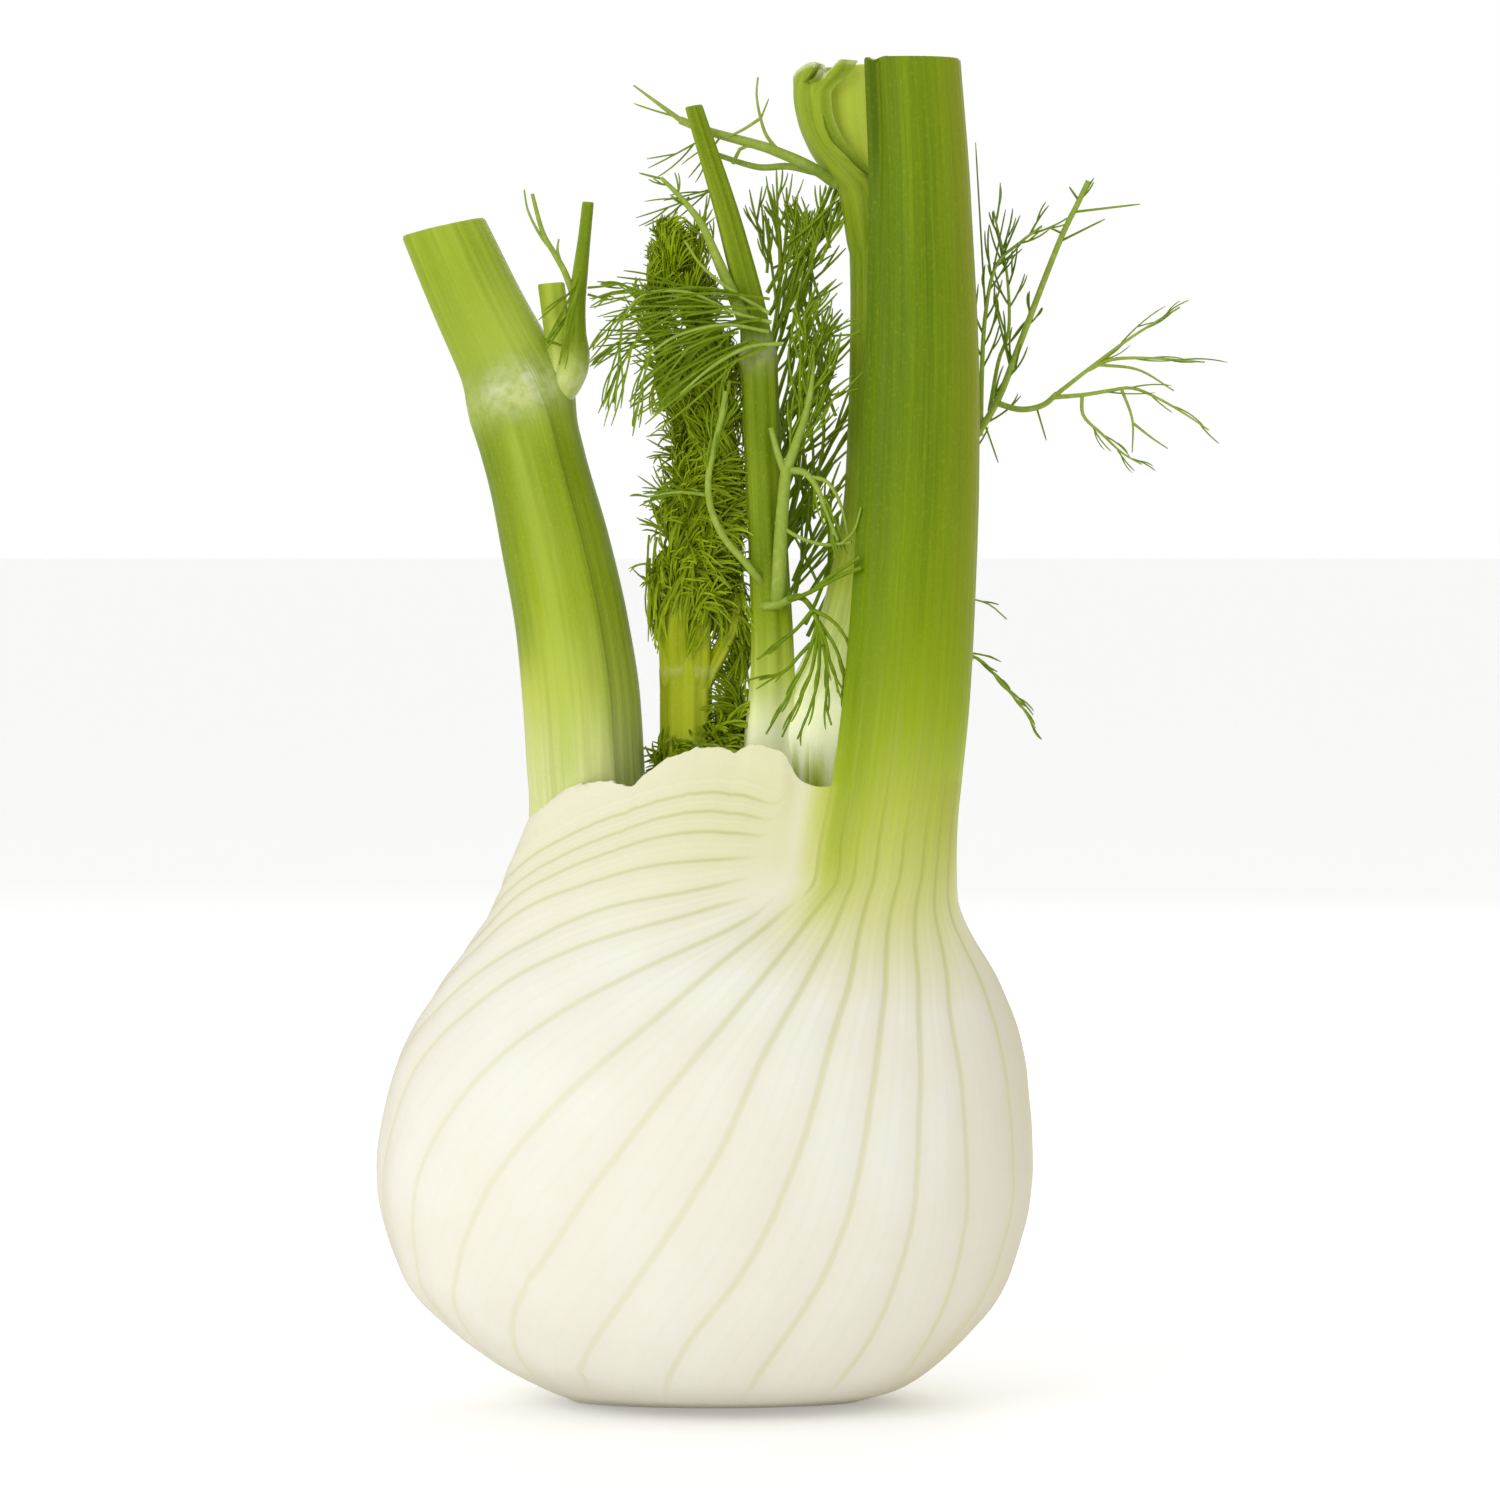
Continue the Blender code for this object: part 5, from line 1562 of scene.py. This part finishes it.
def makeLowTuft():
    threads = Threads(23)
    rng = threads.rng
    threads.stem(((3.4, 6.6, 94), (4, 6.4, 104), (5, 5.8, 113), (5.4, 5.2, 124)), 0.8, 0.5)
    # a curly band behind the bulb's lip, then a column between the shoot and the stalk
    for k in range(60):
        t = k / 59
        x, z = blendTo(-6.6, 7.4, t), 95.0 + 5.5 * math.sin(math.pi * t * 0.6)
        threads.tuft((x, rng.uniform(-3, 5), z + rng.uniform(-1.5, 2.5)),
            np.array((rng.normal(0.2, 0.5), rng.normal(-0.2, 0.3), 0.9)), 5, rng.uniform(4, 7), 0.27,
            (rng.normal(0.6, 0.5), -0.2, -0.8), 2, 0.3, 0.6)
    for k in range(64):
        t = k / 63
        z = blendTo(100, 138, t)
        x = 4.4 + 1.4 * math.sin(t * 5) + rng.normal(0, 0.7)
        way = np.array((rng.normal(-0.1, 0.35), rng.normal(-0.3, 0.3), rng.choice((-0.9, 0.9))))
        threads.tuft((x, rng.uniform(0.6, 5.4), z), way, 4, rng.uniform(5.5, 8), 0.25,
                     (rng.normal(0, 0.4), 0, -0.5), 2, 0.22, 0.5)
    threads.finish("lowTuftLeaf", [frondStem, plumeLeaf], "low_tuft")


makeHeartPlume()
makeLowTuft()


def makePocketFrond():
    # the branch that leaves the pocket to the left, and the net of threads behind the centre stalk
    threads = Threads(31)
    rng = threads.rng
    threads.stems((((20, 4.2, 184.6), (17, 2.6, 186.6), (14.4, 1.4, 187.9), (11, 1, 189.3),
        (8.3, 1.2, 190.3), (0.8, 1.6, 192.4), (-3.8, 1.8, 194.2)), 0.95, 0.62, 36),
        (((-3.6, 1.8, 194.1), (-7, 1.6, 196.6), (-10.8, 1.4, 199.4)), 0.45, 0.14, 12),
        (((16.8, 3.2, 186.4), (12.6, 3.4, 187.3), (8, 3.6, 187.2), (2.6, 3.6, 188.8),
        (0.6, 3.6, 189.6)), 0.6, 0.4))
    threads.thread((-4.6, 1.8, 194.8), (-1, 0, 0.25), 6.5, 0.22, 0, (0, 0, 0.1))
    threads.stems((((11.6, 1, 189), (9.4, 0.8, 191.6), (8.4, 0.8, 194.4), (7.8, 0.8, 197.8),
        (8, 0.8, 200.6)), 0.34, 0.14, 16), (((8.4, 0.8, 194.4), (5.6, 0.8, 192.6), (3, 0.8, 191.4)),
        0.26, 0.18, 8))
    threads.thread((8.4, 0.8, 194.2), (0.4, 0, 1), 3.4, 0.2, 0)
    threads.stem(((11.2, 1, 189.2), (6, 1.2, 190.2), (4.2, 2, 187.6)), 0.24, 0.3, 8)
    threads.strands((((2.4, 1.6, 191.8), (-0.65, 0, -0.9), 8), ((1, 1.6, 192.2), (-0.9, 0, -0.55), 11),
        ((0.8, 3.4, 183.6), (-0.95, 0, -0.4), 12), ((3.4, 3.4, 184.6), (-0.8, 0, -0.25), 10),
        ((-2.4, 2, 182.6), (-0.8, 0, -0.75), 8)), 0.22, 2, (0, 0, 0.1), 0.5)
    # upright ribbons, nearly parallel, that lean to the right
    for k in range(40):
        t = (k + rng.random()) / 40
        z = blendTo(116, 172, t)
        x = blendTo(9.2, 16, rng.random() ** 1.2)
        way = (rng.uniform(0.2, 0.65), rng.normal(0, 0.06), 1)
        threads.thread((x, rng.uniform(4.4, 8.4), z), way, rng.uniform(14, 20), 0.34, 2,
                       (rng.normal(0, 0.25), 0, 0), 0.24, 9, rng.random() * 0.7)
    # a second and a third set cross them
    for k in range(24):
        z = blendTo(122, 178, (k + rng.random()) / 24)
        threads.thread((rng.uniform(9.4, 14), rng.uniform(5, 8), z), (1, 0, rng.uniform(0.3, 0.9)),
            rng.uniform(8, 12), 0.3, 1, (0, 0, rng.uniform(0.2, 0.6)), 0.3, 7, rng.random() * 0.8)
    for k in range(16):
        z = blendTo(120, 168, (k + rng.random()) / 16)
        threads.thread((rng.uniform(14, 20), rng.uniform(5, 8), z), (-rng.uniform(0.15, 0.5), 0, 1),
            rng.uniform(10, 15), 0.3, 1, (rng.normal(0.2, 0.2), 0, 0), 0.3, 8, rng.random() * 0.8)
    # the crown just below the pocket
    for k in range(14):
        x = blendTo(9.4, 19, k / 13)
        threads.thread((x, 5.4, rng.uniform(171, 176)), (rng.normal(0.12, 0.3), 0, 1),
            rng.uniform(7, 12), 0.28, 3, (rng.normal(0, 0.3), 0, 0), 0.42, 7, rng.random())
    threads.finish("pocketFrondLeaf", [frondStem, litNetLeaf], "pocket_frond")


def makeCentreFrond():
    threads = Threads(37)
    rng = threads.rng
    threads.stems((((10.9, -3, 120.2), (11, -5, 122.4), (11.2, -5.6, 126.4), (11.4, -5.8, 131),
        (11.9, -6, 138), (12.3, -6, 141.8)), 1.25, 0.9),
        (((8.4, -3, 120.6), (9.4, -4.7, 120.8), (11, -5.5, 121), (13.2, -5.8, 122), (14.4, -6, 122.2)),
        0.85, 0.55))
    right = threads.stem(((12.2, -6, 141), (13.8, -6.2, 145.4), (15.2, -6.2, 149.6), (16, -6.2, 154),
        (16.3, -6, 160)), 0.85, 0.3, 24)
    threads.stem(((12, -6, 140.8), (11, -6.1, 143.6), (9.9, -6.2, 147.6)), 0.62, 0.42)
    low = threads.stem(((12.4, -6, 141.2), (15, -6.6, 140.8), (16.8, -7.4, 138.6), (18.2, -8.4, 135),
        (20, -9.4, 130.6)), 0.62, 0.25)
    threads.stems(
        (((15.6, -6.8, 140.2), (18.4, -7.6, 139.4), (20.4, -8.8, 136), (21.6, -9.4, 131)), 0.36, 0.18),
        (((10.6, -5.6, 133.4), (14, -6.8, 131.2), (18, -8.4, 130), (22, -10.6, 130.4)), 0.34, 0.24),
        (((20.6, -10.2, 130.2), (22.4, -11, 132.2), (23.4, -11.6, 135.6)), 0.26, 0.16))
    threads.fringe(right, 14, 10, 0.27, 0.5, 2, 0.1, curl=(0, 0, 0.2))
    threads.fringe(low, 7, 6.5, 0.24, 0.5, 1, 0.35, curl=(0, 0, -0.4))
    for _ in range(8):
        threads.thread((rng.uniform(12, 15), -5, rng.uniform(148, 160)),
            (rng.uniform(0.3, 1), 0, rng.uniform(0.4, 1)), rng.uniform(8, 13), 0.27, 2,
            (0, 0, rng.normal(0, 0.3)), 0.4, 8, rng.random())
    # the blue green stem that bows out to the left in front of the plume
    bow = threads.stem(((9, -2.8, 123.8), (7.8, -4.9, 125.2), (6, -6, 127.4), (2.8, -7.2, 131.2),
        (1, -7.6, 135.2), (0.5, -7.6, 139.4), (1.2, -7.4, 143.8), (2.4, -7.2, 148.6), (3.2, -7, 153)),
        0.62, 0.45, 34)
    threads.fringe(bow, 8, 8, 0.24, 0.35, 2, 0.5)
    threads.finish("centreFrondLeaf", [frondStem, frondLeaf], "centre_frond")


def makeLeftSpray():
    # long threads that fan out to the left from the centre stalk's joint, in front of the plume
    threads = Threads(41)
    rng = threads.rng
    for k in range(24):
        t = (k + rng.random()) / 24
        start = (rng.uniform(2, 10), rng.uniform(-6.4, -5), blendTo(159, 167.5, t))
        heading = (-1, rng.uniform(-0.16, 0), blendTo(-0.42, 0.24, t))
        threads.thread(start, heading, rng.uniform(13, 23), 0.27, 2,
            (0, 0, blendTo(-0.6, -0.3, t) + rng.normal(0, 0.3)), 0.34, 9, rng.uniform(0.3, 1))
    threads.stems((((10, -5.2, 163.4), (4, -6.4, 165), (-1.6, -7, 167.6), (-7, -7.2, 168),
        (-10.4, -7.4, 166.6), (-12.6, -7.6, 163)), 0.32, 0.2, 26),
        (((9.6, -5.2, 162), (3, -6.6, 163), (-4, -7.4, 161.4), (-8.8, -7.6, 158.2)), 0.32, 0.2, 22),
        (((11.6, -5.4, 160.2), (6.4, -6.4, 159.6), (1, -7.2, 156.6), (-3.6, -7.6, 152.6)), 0.34, 0.22,
        20), (((9.6, -5.2, 164.8), (3.4, -6.4, 168.6), (-0.6, -6.8, 172), (-3, -7, 175.6)), 0.34, 0.2,
        18))
    for start, heading, length in (((-7.4, -7.4, 167.8), (-1, 0, 0.1), 10),
            ((-9, -7.4, 167.2), (-0.7, 0, -0.5), 12), ((-9.4, -7.6, 162), (-0.6, 0, -0.9), 14),
            ((-8, -7.6, 160), (-0.25, 0, -1), 14), ((-11, -7.8, 161.6), (-0.9, 0, -0.5), 8),
            ((-8.4, -7.4, 167.6), (-1, 0, 0.45), 8), ((-12.4, -8, 163), (-0.1, 0, -1), 13)):
        threads.thread(start, heading, length, 0.24, 3, (0, 0, -0.35), 0.34, 9, rng.uniform(0.3, 0.9))
    # the small side spray further down
    side = threads.stem(((1, -5, 137.4), (-4, -5.8, 137.9), (-8.6, -6.2, 137.2)), 0.34, 0.16, 12)
    threads.fringe(side, 9, 4.4, 0.19, 0.45, 1, 0.3)
    # the flat blade left of the centre stalk's upper part, with its own few threads
    blade = threads.stem(((6, -3.8, 163.6), (3.6, -3.8, 169), (1.6, -3.6, 173.6), (-0.6, -3.4, 178.4),
        (-3.8, -3.4, 182.4), (-6.6, -3.4, 185.2)), 1.15, 0.3, 30)
    threads.thread((-6.6, -3.4, 185.1), (-1, 0, 0.25), 3.4, 0.24, 0)
    threads.fringe(blade, 6, 6, 0.2, 0.7, 1, 0.45)
    threads.finish("leftSprayLeaf", [frondStem, frondLeaf], "left_spray")


lowSprayThreads = (
    ((16.2, 120.2), (13.6, 117.2), (10.4, 114.6), (7.8, 112.8)),
    ((17, 118.4), (15.2, 112.6), (12.4, 107.2), (9.2, 101.6)),
    ((15.9, 115.2), (14.2, 113.4), (12.2, 111.2), (9.6, 110.2), (8.2, 109.8)),
    ((17.1, 117.9), (16, 111), (13.6, 105.6), (11.6, 101.2)),
    ((17.3, 117), (17, 110), (15.6, 105), (13.9, 100.9)),
    ((17.6, 116.5), (18.4, 110.6), (18.2, 106.2), (19, 103)),
    ((17.1, 118.5), (19.6, 114.6), (20.8, 110.6), (20.6, 106)),
    ((16.4, 120.2), (19.4, 118.4), (21.4, 115.4), (22.2, 111)),
    ((16.4, 119.6), (18, 116), (19.2, 111), (21.2, 107.6)),
)


def makeLowSpray():
    threads = Threads(43)
    threads.stems((((12.4, -6, 121.9), (14.6, -6.6, 122), (16.2, -7.8, 120.2), (17.2, -9, 117.6),
        (17.8, -9.6, 115)), 0.5, 0.34), (((23.4, -13.2, 126.6), (20, -11.6, 125.2), (16.4, -9, 123.2),
        (13.4, -6.8, 121.8)), 0.3, 0.36), (((23.2, -13.2, 128.2), (19, -11.2, 125.4),
        (16.6, -9.2, 123.6)), 0.26, 0.3))
    for k, route in enumerate(lowSprayThreads):
        path = threads.stem([(x, -8.8 - (0.25 + 0.1 * k) * j, z) for j, (x, z) in enumerate(route)],
            0.34, 0.16, 14)
        threads.fringe(path, 3, 5, 0.24, 0.34, 0, 0.35, 0.85)
    threads.finish("lowSprayLeaf", [frondLeaf, frondLeaf], "low_spray")


def makeBackFrond():
    # the big frond behind the tall stalk
    threads = Threads(53)
    main = threads.stem(((18, 2.4, 100), (21, 7.4, 109), (26, 11, 118), (33, 11.2, 132),
        (39.6, 10, 143.6), (44.4, 9, 151.6), (47.6, 9, 159.6), (51.4, 9, 169.6), (54.6, 9, 177.6),
        (56.6, 9, 181.6), (58.4, 9, 185.4)), 0.72, 0.42, 46)
    threads.stem(((44.4, 9, 151.6), (48, 8.4, 150.6), (51.4, 8, 151.2), (53.6, 7.6, 153)), 0.5, 0.42,
        16)
    upper = threads.stem(((53.4, 7.6, 152.8), (58.8, 8, 157), (65, 8.6, 161.6), (72.4, 9.4, 166.2)),
        0.36, 0.14, 20)
    upperMid = threads.stem(((58.4, 8, 156.6), (62, 8.2, 158.2), (68, 8.4, 158.4), (76.2, 8.6, 157.8)),
        0.32, 0.12, 20)
    threads.stem(((60, 8, 157.4), (66, 7.4, 156.6), (71.4, 7, 153.4)), 0.28, 0.12, 14)
    lower = threads.stem(((52.8, 7.6, 152.4), (57.6, 7.4, 152.8), (61.4, 7, 153.4), (65, 6.6, 153.8),
        (69, 6.2, 152.2), (73.4, 5.8, 149.6), (76.6, 5.6, 147.4)), 0.38, 0.12, 28)
    drop = threads.stem(((57.4, 7.4, 152.8), (57.6, 6.8, 149.6), (60.4, 6.2, 146.8), (63.4, 6, 144),
        (66.4, 5.8, 142.2)), 0.32, 0.12, 20)
    threads.stems(
        (((63.4, 6.8, 153.6), (65, 6.2, 149), (65, 6, 144)), 0.28, 0.1, 12),
        (((65.2, 6.2, 148.4), (68, 6, 146.2), (70.4, 5.8, 144.6)), 0.24, 0.1, 8))
    threads.fringe(upper, 4, 8.5, 0.17, 0.3, 1, 0.3)
    threads.fringe(upperMid, 4, 8, 0.16, 0.28, 0, 0.3)
    threads.fringe(lower, 5, 6.4, 0.16, 0.34, 0, 0.3, curl=(0, 0, -0.2))
    threads.fringe(drop, 4, 5.6, 0.16, 0.4, 1, 0.3, curl=(0, 0, -0.2))
    for start, heading, length, forks in (((55.9, 9, 180.6), (1, 0, 0.12), 10.5, 0),
            ((53.8, 9, 176), (1, 0, 0.5), 8, 0), ((56.6, 9, 181.6), (0.5, 0, 0.8), 5, 1),
            ((57, 9, 182.4), (-0.5, 0, 0.7), 2.6, 0), ((54.6, 9, 177.4), (-0.8, 0, 0.35), 2.4, 0),
            ((46.6, 9, 157), (-0.25, 0, 1), 9, 1)):
        threads.thread(start, heading, length, 0.26, forks, (0, 0, 0), 0.4)
    # the second rachis and the tangle between it and the stalk
    second = threads.stem(((42, 9.6, 146.6), (42.2, 10, 156), (42.8, 10.2, 165.4), (44.4, 10.4, 172.6),
        (48.2, 10.4, 176.2), (51.4, 10.4, 178.6)), 0.46, 0.2, 34)
    third = threads.stem(((43.4, 10, 150.4), (44.8, 11, 158), (46.4, 11.4, 163), (46, 11.4, 172),
        (44, 11.4, 181)), 0.36, 0.16, 26)
    threads.fringe(second, 13, 8, 0.23, 0.55, 1, 0.25, curl=(0, 0, 0.25))
    threads.fringe(third, 9, 7, 0.22, 0.6, 1, 0.3, curl=(0, 0, 0.2))
    threads.fringe(main, 8, 6.5, 0.23, 0.6, 1, 0.5, 0.8, curl=(0, 0, 0.4))
    threads.strands((((42.1, 9.7, 150), (0.35, 0, -1), 8), ((42.8, 10.2, 165.4), (-0.06, 0, 1), 26),
        ((43.3, 10.3, 168.4), (0.2, 0, 1), 13), ((50.4, 8.2, 151.2), (0.3, 0, -1), 5.6)), 0.2, 0,
        (0, 0, 0), 0.4, 10)
    threads.finish("backFrondLeaf", [frondStem, frondLeaf], "back_frond")


def makeBackWisps():
    threads = Threads(59)
    first = threads.stem(((31, -1.6, 107), (32.6, 3, 111), (36.6, 6.4, 113.6), (41.6, 5.8, 112.6),
        (45, 5.2, 109), (48, 4.6, 105.6), (50.2, 4.2, 102)), 0.36, 0.16, 28)
    second = threads.stem(((31.6, -1.6, 113), (33.6, 3.6, 117.4), (39, 7.4, 121.4), (43, 8, 121),
        (46, 8, 118.6)), 0.26, 0.12, 20)
    threads.fringe(first, 9, 6, 0.21, 0.3, 1, 0.4, curl=(0.2, 0, -0.2))
    threads.fringe(second, 2, 3.4, 0.18, 0.4, 0, 0.4)
    threads.thread((40, 7.6, 121.4), (-0.05, 0, 1), 4.6, 0.18, 0)
    threads.finish("backWispsLeaf", [frondStem, frondLeaf], "back_wisps")


makePocketFrond()
makeCentreFrond()
makeLeftSpray()
makeLowSpray()
makeBackFrond()
makeBackWisps()
print("fronds ready")


# the small side shoot on the left stalk's joint

def makeSideShoot():
    bud = ((150.4, -22.2, -0.2, 0.9, 1.2, 0), (153.2, -20.9, -1.5, 1.9, 2, 0),
        (156.4, -20, -2.5, 2.4, 2.5, 0), (159, -19.6, -2.7, 2.2, 2.3, 0),
        (162, -19.5, -2.6, 1.6, 1.7, 0), (166, -19.3, -2.5, 1.3, 1.3, 0),
        (171, -18.8, -2.4, 1.15, 1.15, 0), (176, -18.2, -2.4, 0.95, 0.95, 0),
        (181.6, -17.6, -2.4, 0.85, 0.85, -4))
    solidStalk("sideShootTwig", bud, 32, 0.6, youngSkin, (140, 190), 5, 0.05,
               knots=((155, 3, 0.05, 0.5),), node="left_side_shoot")
    stub = ((152, -23, -0.6, 1.8, 1.8, 0), (158, -21.9, -1.4, 2, 1.9, 2),
        (164, -22.5, -1.8, 2, 1.85, 4), (169.4, -23.2, -2, 2, 1.8, 5))
    # the stub's green starts later, so it stays paler: partly its own colour, partly painted light where
    # the leaflets shade it
    solidStalk("sideShootStub", stub, 32, 0.6, youngSkin, (146, 214), 6, 0.06,
               node="left_side_shoot", seed=2)
    threads = Threads(67)
    threads.stems((((-19.4, -2.6, 166.4), (-21, -2.8, 170.8), (-22.4, -2.9, 173.4), (-24.4, -3, 177),
        (-26, -3, 182.8)), 0.6, 0.3), (((-22.6, -2.9, 173.8), (-24.8, -3, 176.6), (-26.6, -3.1, 180.2),
        (-27.2, -3.1, 183.4)), 0.3, 0.14), (((-21.8, -2.9, 172.6), (-22.2, -3, 174.4), (-22, -3, 176)),
        0.3, 0.14))
    # dark leaflets that hang over the bud
    threads.strands((((-18.6, -5, 171), (-0.2, -0.2, -1), 13),
        ((-18.8, -5, 170), (-0.45, -0.1, -0.9), 11), ((-19.2, -5, 168), (-0.1, -0.2, -1), 12),
        ((-19, -5, 169), (-0.7, 0, -0.6), 8), ((-19.8, -4.8, 165.6), (-0.5, -0.1, -0.8), 8),
        ((-20, -4.8, 163), (-0.3, -0.1, -1), 6)), 0.26, 1, (-0.1, 0, -0.1), 0.3)
    threads.strands((((-17.6, -4.4, 168.6), (1, -0.3, 0.05), 6.5),
        ((-17.6, -4.4, 167.6), (1, -0.3, -0.3), 4), ((-20.6, -4, 159.6), (-1, -0.1, 0.35), 4.4)), 0.24,
        1, (0, 0, 0.1), 0.4)
    threads.finish("sideShootLeaf", [frondStem, frondLeaf], "left_side_shoot")


makeSideShoot()
print("side shoot ready")
